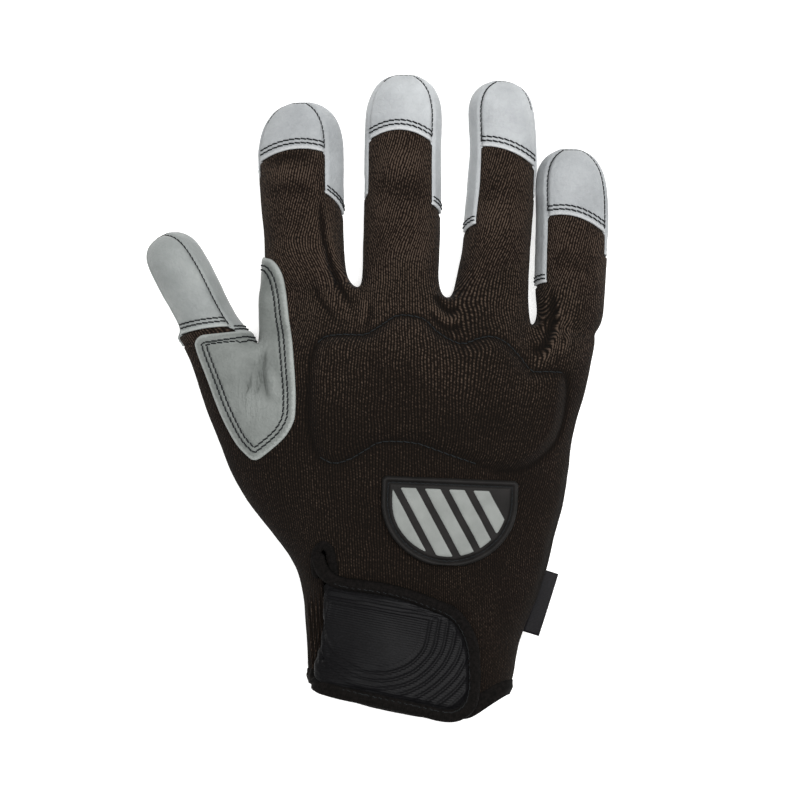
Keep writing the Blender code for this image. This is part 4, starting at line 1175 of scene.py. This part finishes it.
# The saddle over the fork of the thumb. A second piece of the same leather laid over the knit,
# its cut edge left raw, held by two rows of thread that follow its outline.
SADDLE = ((240, 238), (262, 256), (273, 261), (281, 272), (285, 287), (289, 319), (293, 346), (296, 386),
          (296, 410), (294, 422), (286, 436), (272, 449), (257, 459), (247, 453), (236, 440), (222, 413),
          (209, 379), (198, 350), (196, 336), (196, 318), (205, 270))
SADDLE_TOP_EDGE = ((190.0, 337.0), (255.0, 331.5))    # its edge across the thumb, below the thumb's leather
SADDLE_CORNER = 0.0035
VALLEY = ((262, 352), (258, 378), (250, 405))
VALLEY_REACH = 0.0050
FORK = (259.0, 344.0)
FORK_SLOPE = 0.35
SADDLE_ROWS = (0.0026, 0.0042)
SADDLE_TOP = GAP + LEATHER_WALL
SADDLE_EDGE_FALL = (0.00045, 0.0007)    # depth and width of the fall to its raw edge
SADDLE_ROW_SINK = (0.00026, 0.00045)
SADDLE_PUFF = (0.00012, 0.0005)
SADDLE_LOW = 0.0065 + 0.002          # the saddle ends this far over the table, round the side
saddle_outline = smooth_line(SADDLE, 0.0010, closed=True)


def saddle_edge(points):
    """How far a point lies inside the saddle's edge; the thumb has an edge of its own across it."""
    past = within(points, saddle_outline)
    start, end = np.array(spot(*SADDLE_TOP_EDGE[0])), np.array(spot(*SADDLE_TOP_EDGE[1]))
    way = (end - start) / np.linalg.norm(end - start)
    below = (points[:, :2] - start) @ np.array([way[1], -way[0]])
    inner = np.minimum(past, below)
    rounded = SADDLE_CORNER - np.hypot(np.maximum(SADDLE_CORNER - past, 0.0),
                                       np.maximum(SADDLE_CORNER - below, 0.0))
    both = np.where(inner > SADDLE_CORNER, inner, rounded)
    fork = spot(*FORK)
    on_thumb = (points[:, 1] > fork[1]) & (points[:, 0] < fork[0] - FORK_SLOPE * (points[:, 1] - fork[1]))
    return np.where(on_thumb, both, past)


saddle_sheet = skin_sheet(lambda finger, side: finger < 4, fine=True).cut(saddle_edge)
saddle_sheet = saddle_sheet.cut(lambda points: points[:, 2] - SADDLE_LOW)
saddle_past = saddle_edge(saddle_sheet.points)
saddle_top = SADDLE_TOP - SADDLE_EDGE_FALL[0] * bell(saddle_past, SADDLE_EDGE_FALL[1])
for row in SADDLE_ROWS:
    saddle_top = saddle_top - SADDLE_ROW_SINK[0] * bell(saddle_past - row, SADDLE_ROW_SINK[1])
saddle_top = saddle_top + SADDLE_PUFF[0] * bell(saddle_past - 0.5 * sum(SADDLE_ROWS), SADDLE_PUFF[1])
# The saddle's leather: real worn creases in its valley, and its darker tones painted shade.
worn_leather_painted_shade = grain_leather("worn_grain_leather_painted_shade", SADDLE_PAINTED_SHADE_TONE)
saddle = sewn_piece("thumb_saddle", saddle_sheet, worn_leather_painted_shade, saddle_top, LEATHER_WALL)
mark(saddle, "from_edge", saddle_past)
mark(saddle, "crest", creases(saddle_sheet.points, saddle_sheet.ways))
valley = smooth_line(VALLEY)
mark(saddle, "worn", bell(to_line(saddle_sheet.points, valley)[0], VALLEY_REACH))
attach(saddle, "root")
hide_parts("crotch_patch")
saddle_rows = [stitch_net(line, ways, SADDLE_TOP - 0.00012) for row in SADDLE_ROWS
               for line, ways in contour(saddle_sheet, saddle_past, row)]
saddle_stitching = join_rows("saddle_stitching", saddle_rows, thread)
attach(saddle_stitching, "root")

# The stitching of the knuckle guard. One row of dark thread sunk in the jersey holds the foam under
# it along its upper and lower lines.
GUARD_ROWS = (GUARD[:16] + ((564, 373),), GUARD[30:20:-1])
skin_tree = BVHTree.FromPolygons([Vector(p) for p in skin_points], skin_faces.tolist())


def lie(x, y, tree=skin_tree):
    """The place and way out of a surface under a point of the plan, or none beside it."""
    place, way, face, gap = tree.ray_cast(Vector((x, y, 0.1)), Vector((0.0, 0.0, -1.0)))
    return place, way


def laid_line(line, tree=skin_tree):
    """A line of the plan laid on a surface: its points and ways out."""
    found = [lie(x, y, tree) for x, y in line]
    found = [(place, way) for place, way in found if place is not None]
    return np.array([place for place, way in found]), np.array([way for place, way in found])


guard_rows = []
for places in GUARD_ROWS:
    line, ways = laid_line(smooth_line(places, 0.0006))
    guard_rows.append(stitch_net(line, ways, lift=0.00006, pitch=0.0026, radius=0.00024))
guard_stitching = join_rows("guard_stitching", guard_rows, thread)
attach(guard_stitching, "root")

# The badge. Soft black PVC moulded in a half round with a beaded rim, stitched on in its groove;
# its face carries a plain design of slanting pale bars.
BADGE_WIDTH = 0.0500
BADGE_HEIGHT = 0.0325
BADGE_PLACE = (0.0180, 0.0727)
BADGE_TILT = radians(-2.5)
BADGE_WALL = 0.0012
BEAD = 0.0016
BEAD_RISE = 0.0007
BAR_RISE = 0.0006
GROOVE = 0.0021             # how far inside the badge's edge its stitched groove runs
GROOVE_DEPTH = 0.00040
FACE_EDGE = 0.0026          # the badge's face begins this far inside its edge, raised a little
FACE_RISE = 0.00030
RUBBER_BLACK = "#151413"
RUBBER_GREY = "#1f1d1c"


def half_round(width, height, steps=24):
    """Outline with a straight upper edge and a half-round lower one, its corners eased."""
    half, corner, upper = width / 2.0, 0.0012, 0.46 * height
    outline = [(half - corner, upper), (-half + corner, upper), (-half, upper - corner)]
    for step in range(steps + 1):
        angle = pi + pi * step / steps
        outline.append((half * cos(angle), 0.20 * height + 0.74 * height * sin(angle)))
    outline.append((half, upper - corner))
    return np.array(outline)


def turned(outline, middle, angle):
    """An outline turned about the middle of a piece and moved to its place on the glove."""
    spin = np.array([[cos(angle), sin(angle)], [-sin(angle), cos(angle)]])
    return outline @ spin + np.array(middle) + np.array(ORIGIN)[:2]


def net_over(middle, angle, width, height, step):
    """A fine even net laid on the back of the hand."""
    columns, rows = int(width / step) + 1, int(height / step) + 1
    xs = np.linspace(-width / 2.0, width / 2.0, columns)
    ys = np.linspace(-height / 2.0, height / 2.0, rows)
    flat = turned(np.array([(x, y) for y in ys for x in xs]), middle, angle)
    heights = np.full(len(flat), np.nan)
    for i, (x, y) in enumerate(flat):
        place = lie(x, y)[0]
        if place is not None:
            heights[i] = place.z
    heights = heights.reshape(rows, columns)
    while np.isnan(heights).any():
        for axis in (0, 1):
            for shift in (1, -1):
                heights = np.where(np.isnan(heights), np.roll(heights, shift, axis), heights)
    for turn in range(6):
        wide = np.pad(heights, 1, mode="edge")
        heights = (wide[:-2, 1:-1] + wide[2:, 1:-1] + wide[1:-1, :-2] + wide[1:-1, 2:] + 2 * heights) / 6.0
    points = np.column_stack([flat, heights.ravel()])
    corners = np.arange(rows * columns).reshape(rows, columns)
    faces = np.stack([corners[:-1, :-1], corners[:-1, 1:], corners[1:, 1:], corners[1:, :-1]], axis=-1)
    faces = faces.reshape(-1, 4)
    return Sheet(points, ways_out(points, faces), [tuple(face) for face in faces.tolist()])


def moulded_rubber(name, dark, light, roughness):
    """Moulded PVC: even and dull, with the faint spark-eroded grain of its mould."""
    made, tree, shader = new_material(name, Roughness=roughness, Specular_IOR_Level=0.12)
    place = add_node(tree, "TexCoord").outputs["Object"]
    grain = add_node(tree, "TexNoise", {"Vector": place, "Scale": 1800.0, "Detail": 2.0})
    dust = add_node(tree, "TexNoise", {"Vector": place, "Scale": 160.0, "Detail": 4.0})
    colour = colour_steps(tree, dust, (0.35, dark), (0.75, light))
    bump = add_node(tree, "Bump", {"Height": grain, "Strength": 0.25, "Distance": 0.00010})
    set_inputs(tree, shader, {"Base Color": colour, "Normal": bump})
    return made


badge_rubber = moulded_rubber("moulded_badge_rubber", RUBBER_BLACK, RUBBER_GREY, 0.6)
bar_rubber = moulded_rubber("moulded_bar_rubber", "#7a7d7a", "#868986", 0.6)
badge_outline = turned(half_round(BADGE_WIDTH, BADGE_HEIGHT), BADGE_PLACE, BADGE_TILT)
badge_net = net_over(BADGE_PLACE, BADGE_TILT, BADGE_WIDTH * 1.02, BADGE_HEIGHT * 1.04, 0.00032)
badge_sheet = badge_net.cut(lambda points: within(points, badge_outline))
badge_past = within(badge_sheet.points, badge_outline)
badge_top = np.full(len(badge_past), GAP + BADGE_WALL)
badge_top += BEAD_RISE * np.sqrt(np.clip(1.0 - ((badge_past - BEAD / 2.0) / (BEAD / 2.0)) ** 2, 0.0, 1.0))
badge_top -= GROOVE_DEPTH * bell(badge_past - GROOVE, 0.00035)
badge_top += FACE_RISE * ramp((badge_past - FACE_EDGE) / 0.0004)
badge = sewn_piece("badge_face", badge_sheet, badge_rubber, badge_top, BADGE_WALL)
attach(badge, "root")
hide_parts("badge", "badge_rim")
line, ways = contour(badge_sheet, badge_past, GROOVE)[0]
badge_row = stitch_net(line, ways, GAP + BADGE_WALL - 0.0003, pitch=0.0021, radius=0.0002)
badge_stitching = join_rows("badge_stitching", [badge_row], thread)
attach(badge_stitching, "root")

BARS = 5
BAR_PITCH = (BADGE_WIDTH - 4.0 * BEAD) / BARS
BAR_SLANT = radians(28)
BAR_INSET = 0.0039
for number in range(BARS):
    shift = (number - (BARS - 1) / 2.0) * BAR_PITCH
    half, reach = 0.28 * BAR_PITCH, 2.0 * BADGE_HEIGHT
    slab = np.array([(-half, -reach), (half, -reach), (half, reach), (-half, reach)])
    slab = turned(slab, (BADGE_PLACE[0] + shift, BADGE_PLACE[1]), BAR_SLANT)

    def inside_bar(points, slab=slab):
        return np.minimum(within(points, slab), within(points, badge_outline) - BAR_INSET)

    bar_sheet = badge_net.cut(inside_bar)
    past = inside_bar(bar_sheet.points)
    top = GAP + BADGE_WALL + FACE_RISE + BAR_RISE - 0.00025 * bell(past, 0.00035)
    bar = sewn_piece(f"badge_bar_face_{number + 1}", bar_sheet, bar_rubber, top, BAR_RISE, roll=0.0001)
    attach(bar, "root")
    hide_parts(f"badge_bar_{number + 1}")

# The bindings of the cuff and the wrist slit. Black stretch tape folded over the cut edge of the
# knit and sewn through both sides with one row.
TAPE_BLACK = "#070605"
TAPE_LIGHT = "#141110"
CUFF_TAPE = 0.0052
CUFF_ROW = 0.0040           # the row of thread is sunk this far in from the cuff's edge
VENT_WIDTH = 0.0034


def stretch_tape():
    """Woven stretch tape: near black and matt, with fine ribs across it."""
    made, tree, shader = new_material("woven_stretch_tape", Roughness=0.9, Specular_IOR_Level=0.08)
    place = add_node(tree, "UVMap", uv_map="TapeMap")
    split = add_node(tree, "SeparateXYZ", {0: place})
    rib = add_node(tree, "Math", {0: split.outputs["X"], 1: 2.0 * pi / 0.00075}, operation="MULTIPLY")
    wave = add_node(tree, "Math", {0: rib}, operation="SINE")
    warp = add_node(tree, "Math", {0: split.outputs["Y"], 1: 2.0 * pi / 0.0009}, operation="MULTIPLY")
    cross = add_node(tree, "Math", {0: warp}, operation="SINE")
    weave = add_node(tree, "Math", {0: cross, 1: 0.4, 2: wave}, operation="MULTIPLY_ADD")
    fibre = add_node(tree, "TexNoise", {"Vector": place, "Scale": 900.0, "Detail": 3.0})
    tone = add_node(tree, "Math", {0: weave, 1: 0.06, 2: fibre}, operation="MULTIPLY_ADD")
    colour = colour_steps(tree, tone, (0.35, TAPE_BLACK), (0.75, TAPE_LIGHT))
    bump = add_node(tree, "Bump", {"Height": tone, "Strength": 0.6, "Distance": 0.00025})
    set_inputs(tree, shader, {"Base Color": colour, "Normal": bump})
    return made


tape = stretch_tape()
whole_skin = skin_sheet(lambda finger, side: True)
cuff_edge = whole_skin.points[sorted({a for a, b in whole_skin.rim()})]
cuff_sheet = skin_sheet(lambda finger, side: finger == 0)
cuff_sheet = cuff_sheet.cut(lambda points: CUFF_TAPE - nearest_gap(points, cuff_edge))
cuff_sheet = cuff_sheet.cut(lambda points: to_line(points, slit_line)[0] - SLIT_HALF - 0.0003)
cuff_in = nearest_gap(cuff_sheet.points, cuff_edge)
cuff_top = GAP + TAPE_WALL - 0.0009 * bell(CUFF_TAPE - cuff_in, 0.0013)
cuff_top = cuff_top - 0.0003 * bell(cuff_in - CUFF_ROW, 0.0004)
cuff_run = np.arctan2(cuff_sheet.points[:, 2] - BODY_DEPTH / 2.0, cuff_sheet.points[:, 0]) * 0.03
cuff_places = np.column_stack([cuff_sheet.points[:, 0] + cuff_run, cuff_in])
cuff_wall = 2.0 * TAPE_WALL + 2.0 * GAP + KNIT_WALL
cuff_binding = sewn_piece("cuff_tape", cuff_sheet, tape, cuff_top, cuff_wall, roll=0.0008,
                          maps=("TapeMap", cuff_places))
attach(cuff_binding, "root")
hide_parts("cuff_binding")

BAND_SECTION = ((-0.50, 0.0), (-0.50, 0.45), (-0.42, 0.85), (-0.25, 1.05), (0.0, 1.12),
                (0.25, 1.05), (0.42, 0.85), (0.50, 0.45), (0.50, 0.0))


def laid_band(name, line, width, lift, material, thickness=1.0, climb=0.0):
    """A tape laid along a line of the plan, lift above the skin, reached over the length of its climb."""
    side = beside(line)
    run = run_along(line)
    points = []
    places = []
    last = None
    for i, place in enumerate(line):
        risen = ramp(run[i] / climb) * ramp(0.25 + (run[-1] - run[i]) / climb) if climb else 1.0
        ends = min(1.0, 0.25 + min(run[i], run[-1] - run[i]) / (0.5 * width))
        for j, (share, height) in enumerate(BAND_SECTION):
            x, y = place + side[i] * share * width * ends
            found, up = lie(x, y)
            if found is None:
                found, up = Vector((x, y, last[0].z)), last[1]
            last = (found, up)
            lean = min(1.0, max(0.0, (up.z - 0.45) / 0.4))
            up = Vector((up.x * lean, up.y * lean, max(up.z, 0.01))).normalized()
            rise = mix(GAP, lift, risen) + height * 0.001 * mix(1.4, thickness, risen)
            points.append(Vector((x, y, found.z)) + up * rise)
            places.append((run[i], share * width))
    sides = len(BAND_SECTION)
    points = np.array(points)
    for turn in range(3):
        grid = points.reshape(len(line), sides, 3)
        grid[1:-1, :, 2] = (grid[:-2, :, 2] + 2.0 * grid[1:-1, :, 2] + grid[2:, :, 2]) / 4.0
        points = grid.reshape(-1, 3)
    return make_object(name, points, tube_faces(len(line), sides), material, ("TapeMap", places))


VENT_LOOP = ((318.5, 577.0), (317.0, 568.0), (316.5, 558.0), (318.5, 548.5), (324.5, 544.0), (330.5, 548.5),
             (333.0, 560.0), (336.0, 582.0), (338.0, 604.0))
vent_tape = laid_band("vent_tape", smooth_line(VENT_LOOP, 0.0006), VENT_WIDTH, GAP, tape)
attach(vent_tape, "root")
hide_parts("vent_binding")

# The closure strap. A felt-backed tab of black fabric that closes the wrist, bound round its edge
# with the same tape, with a ribbed rubber face welded on its middle.
STRAP_EDGE_LINE = ((326, 582), (346, 577), (378, 580), (406, 586), (434, 596), (455, 605), (468, 619),
                   (476, 640), (478, 662), (478, 690), (472, 708), (455, 717), (438, 716), (420, 712),
                   (364, 700), (321, 688), (318, 684), (323, 640), (327, 600))
STRAP_LIFT = 0.0016
STRAP_WALL = 0.0018
BINDING_LINE = ((319.0, 550.0), (320.5, 560.0), (326.0, 570.0), (335.0, 577.5), (348.0, 582.0),
                (378.0, 586.0), (405.0, 592.0), (432.0, 602.0), (451.0, 610.5), (462.5, 624.0),
                (470.0, 643.0), (472.0, 663.0), (471.5, 688.0), (466.0, 703.0), (453.5, 711.0),
                (438.0, 710.0), (421.0, 706.0), (365.0, 694.0), (330.0, 685.5), (311.0, 679.0))
BINDING_WIDTH = 0.0047
MOULDING_LINE = ((330, 588), (352, 590), (380, 594), (407, 600), (430, 608), (447, 616), (457, 628),
                 (464, 645), (466, 664), (465.5, 686), (461, 697), (452, 704), (436, 703), (421, 699),
                 (365, 687), (322, 676), (326, 640), (328, 610))
RIPPLE_CENTRE = (378.0, 628.0)
RIPPLE_PITCH = 0.0031
RIPPLE_TURN = -10.0
RIPPLE_RISE = 0.00038
RIPPLE_START = 0.0155       # the ripples begin this far from their centre
MOULDING_RISE = 0.0006
MOULDING_WALL = 0.0007
STRAP_MIDDLE = (0.0008, 0.0243)
STRAP_NET = (STRAP_MIDDLE, radians(-10), 0.072, 0.058)    # middle, turn, width and height of its nets
STRAP_INSET = 0.0008
STRAP_ROW_INSET = 0.0013
STRAP_ROW_ENDS = 18         # steps of the tape's line left bare at both ends


def strap_felt():
    """Pressed black fabric, matt and slightly hairy."""
    made, tree, shader = new_material("pressed_strap_fabric", Roughness=0.95, Specular_IOR_Level=0.08)
    place = add_node(tree, "TexCoord").outputs["Object"]
    fibre = add_node(tree, "TexNoise", {"Vector": place, "Scale": 1400.0, "Detail": 3.0})
    colour = colour_steps(tree, fibre, (0.35, "#070707"), (0.7, "#121112"))
    bump = add_node(tree, "Bump", {"Height": fibre, "Strength": 0.5, "Distance": 0.0002})
    set_inputs(tree, shader, {"Base Color": colour, "Normal": bump})
    return made


def ribbed_rubber():
    """Welded rubber film, satin, hatched with fine lines across the strap."""
    made, tree, shader = new_material("welded_ribbed_rubber", Roughness=0.42, Specular_IOR_Level=0.08)
    place = add_node(tree, "TexCoord").outputs["Object"]
    split = add_node(tree, "SeparateXYZ", {0: place})
    drift = add_node(tree, "Math", {0: split.outputs["X"], 1: 0.19, 2: split.outputs["Y"]},
                     operation="MULTIPLY_ADD")
    hatch = add_node(tree, "Math", {0: drift, 1: 2.0 * pi / 0.0009}, operation="MULTIPLY")
    wave = add_node(tree, "Math", {0: hatch}, operation="SINE")
    grain = add_node(tree, "TexNoise", {"Vector": place, "Scale": 1500.0, "Detail": 2.0})
    height = add_node(tree, "Math", {0: wave, 1: 0.5, 2: grain}, operation="MULTIPLY_ADD")
    colour = colour_steps(tree, grain, (0.35, "#070708"), (0.75, "#0f0e10"))
    bump = add_node(tree, "Bump", {"Height": height, "Strength": 0.35, "Distance": 0.00015})
    set_inputs(tree, shader, {"Base Color": colour, "Normal": bump})
    return made


strap_outline = smooth_line(STRAP_EDGE_LINE, 0.001, closed=True)
strap_sheet = net_over(*STRAP_NET, 0.0009).cut(lambda points: within(points, strap_outline) - STRAP_INSET)
strap = sewn_piece("strap_tab", strap_sheet, strap_felt(), STRAP_LIFT + STRAP_WALL, STRAP_WALL)
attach(strap, "root")
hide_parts("closure_strap")
binding_line = smooth_line(BINDING_LINE, 0.0007)
binding = laid_band("strap_edge_tape", binding_line, BINDING_WIDTH, STRAP_LIFT, tape,
                    thickness=2.6, climb=0.011)
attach(binding, "root")
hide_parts("strap_binding")
binding_tree = BVHTree.FromPolygons([point.co for point in binding.data.vertices],
                                    [tuple(face.vertices) for face in binding.data.polygons])
inner_line = binding_line - beside(binding_line) * STRAP_ROW_INSET
line, ways = laid_line(inner_line[STRAP_ROW_ENDS:-STRAP_ROW_ENDS], binding_tree)
strap_row = stitch_net(line, ways, lift=0.00008, pitch=0.0024, radius=0.00024)
strap_stitching = join_rows("strap_stitching", [strap_row], thread)
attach(strap_stitching, "root")
moulding_outline = smooth_line(MOULDING_LINE, 0.0008, closed=True)
moulding_sheet = net_over(*STRAP_NET, 0.00038).cut(lambda points: within(points, moulding_outline))
moulding_past = within(moulding_sheet.points, moulding_outline)
away = moulding_sheet.points[:, :2] - np.array(spot(*RIPPLE_CENTRE))
turn = radians(RIPPLE_TURN)
along = away @ np.array([cos(turn), sin(turn)])
rise = away @ np.array([-sin(turn), cos(turn)])
radius = np.where(rise < 0.0, np.hypot(along, rise * 1.15), np.maximum(np.abs(along), rise * 2.4))
ripple = np.clip(np.cos(radius * 2.0 * pi / RIPPLE_PITCH), 0.0, 1.0) ** 1.5
ripple = ripple * ramp((radius - RIPPLE_START) / 0.001) * ramp(moulding_past / 0.0015)
moulding_top = STRAP_LIFT + STRAP_WALL + MOULDING_RISE + RIPPLE_RISE * ripple
moulding_top -= 0.0005 * bell(moulding_past, 0.0006)
moulding = sewn_piece("strap_rubber_face", moulding_sheet, ribbed_rubber(), moulding_top, MOULDING_WALL)
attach(moulding, "root")
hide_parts("strap_moulding")

# The side label. A blank strip of black woven satin ribbon, folded double and caught in the side seam.
LABEL_LENGTH = 0.0245
LABEL_REACH = 0.0068
LABEL_MIDDLE = (540.5, 603.0)
LABEL_RUN = radians(72.5)


def woven_ribbon():
    """Woven satin ribbon: black, with a soft gloss and very fine ribs."""
    made, tree, shader = new_material("woven_satin_ribbon", Roughness=0.6, Specular_IOR_Level=0.15)
    place = add_node(tree, "UVMap", uv_map="TapeMap")
    split = add_node(tree, "SeparateXYZ", {0: place})
    rib = add_node(tree, "Math", {0: split.outputs["X"], 1: 2.0 * pi / 0.0006}, operation="MULTIPLY")
    wave = add_node(tree, "Math", {0: rib}, operation="SINE")
    fibre = add_node(tree, "TexNoise", {"Vector": place, "Scale": 1300.0, "Detail": 2.0})
    tone = add_node(tree, "Math", {0: wave, 1: 0.12, 2: fibre}, operation="MULTIPLY_ADD")
    colour = colour_steps(tree, tone, (0.35, "#0b0a0c"), (0.75, "#161417"))
    bump = add_node(tree, "Bump", {"Height": tone, "Strength": 0.35, "Distance": 0.00012})
    set_inputs(tree, shader, {"Base Color": colour, "Normal": bump})
    return made


label_low, label_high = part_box("side_label")
label_z = (label_low.z + label_high.z) / 2.0
label_along = np.array([cos(LABEL_RUN), sin(LABEL_RUN)])
label_out = np.array([-label_along[1], label_along[0]])
label_out = label_out if label_out[0] > 0 else -label_out
LABEL_SECTION = ((-1.10, 0.16), (-0.50, 0.30), (0.0, 0.42), (0.50, 0.48), (0.85, 0.44), (0.97, 0.26),
                 (1.0, 0.0), (0.97, -0.26), (0.85, -0.44), (0.50, -0.48), (0.0, -0.42), (-0.50, -0.30),
                 (-1.10, -0.16))
label_points = []
label_places = []
LABEL_STEPS = 24
for i in range(LABEL_STEPS + 1):
    share = i / LABEL_STEPS - 0.5
    base = np.array(spot(*LABEL_MIDDLE)) + label_along * share * LABEL_LENGTH
    bow = 0.0008 * (1.0 - 4.0 * share * share)
    for j, (reach, height) in enumerate(LABEL_SECTION):
        flat = base + label_out * reach * LABEL_REACH / 2.0
        label_points.append((flat[0], flat[1], label_z + height * 0.0009 + bow * (0.5 + 0.5 * reach)))
        label_places.append((share * LABEL_LENGTH, reach * LABEL_REACH / 2.0))
label_faces = tube_faces(LABEL_STEPS + 1, len(LABEL_SECTION))
label = make_object("side_ribbon", np.array(label_points), label_faces, woven_ribbon(),
                    ("TapeMap", label_places))
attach(label, "root")
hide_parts("side_label")

# The studio: a plain white table, soft light from above and from the thumb side, and the camera
# straight over the glove.
FLOOR_WHITE = "#f6f6f5"
FLOOR_GLOW = 0.62           # the table is a lit sheet of white acrylic, so shadows on it stay faint
made, tree, shader = new_material("lit_white_table", Roughness=0.9, Emission_Strength=FLOOR_GLOW)
shader.inputs["Base Color"].default_value = linear(FLOOR_WHITE)
shader.inputs["Emission Color"].default_value = linear(FLOOR_WHITE)
FLOOR_HALF = 1.5
FLOOR_DROP = 0.0002
floor_corners = [(-FLOOR_HALF, -FLOOR_HALF, -FLOOR_DROP), (FLOOR_HALF, -FLOOR_HALF, -FLOOR_DROP),
                 (FLOOR_HALF, FLOOR_HALF, -FLOOR_DROP), (-FLOOR_HALF, FLOOR_HALF, -FLOOR_DROP)]
floor = make_object("table", floor_corners, [(0, 1, 2, 3)], made)
Lamp = namedtuple("Lamp", "name place size power")
LAMPS = (
    Lamp("key", (0.50, 0.38, 1.00), 0.6, 10.0),
    Lamp("fill", (-0.70, -0.20, 0.95), 0.8, 2.5),
    Lamp("top", (0.0, 0.05, 1.35), 0.7, 9.0),
)
for soft_box in LAMPS:
    lamp = bpy.data.lights.new(soft_box.name, "AREA")
    lamp.energy = soft_box.power
    lamp.size = soft_box.size
    stand = bpy.data.objects.new(soft_box.name, lamp)
    stand.location = soft_box.place
    stand.rotation_euler = (-Vector(soft_box.place)).to_track_quat("-Z", "Y").to_euler()
    bpy.context.scene.collection.objects.link(stand)
world = bpy.data.worlds.new("studio")
world.use_nodes = True
world.node_tree.nodes["Background"].inputs["Color"].default_value = (1.0, 1.0, 1.0, 1.0)
world.node_tree.nodes["Background"].inputs["Strength"].default_value = 0.35
bpy.context.scene.world = world
bpy.context.scene.view_settings.view_transform = "Standard"

CAMERA_HEIGHT = 1.138
VIEW_MIDDLE = (400.0, 400.0)
lens = bpy.data.cameras.new("over_the_glove")
lens.lens = 135.0
lens.sensor_width = 36.0
lens.clip_start = 0.05
lens.clip_end = 20.0
camera = bpy.data.objects.new("over_the_glove", lens)
camera.location = (*spot(*VIEW_MIDDLE), CAMERA_HEIGHT)
bpy.context.scene.collection.objects.link(camera)
bpy.context.scene.camera = camera
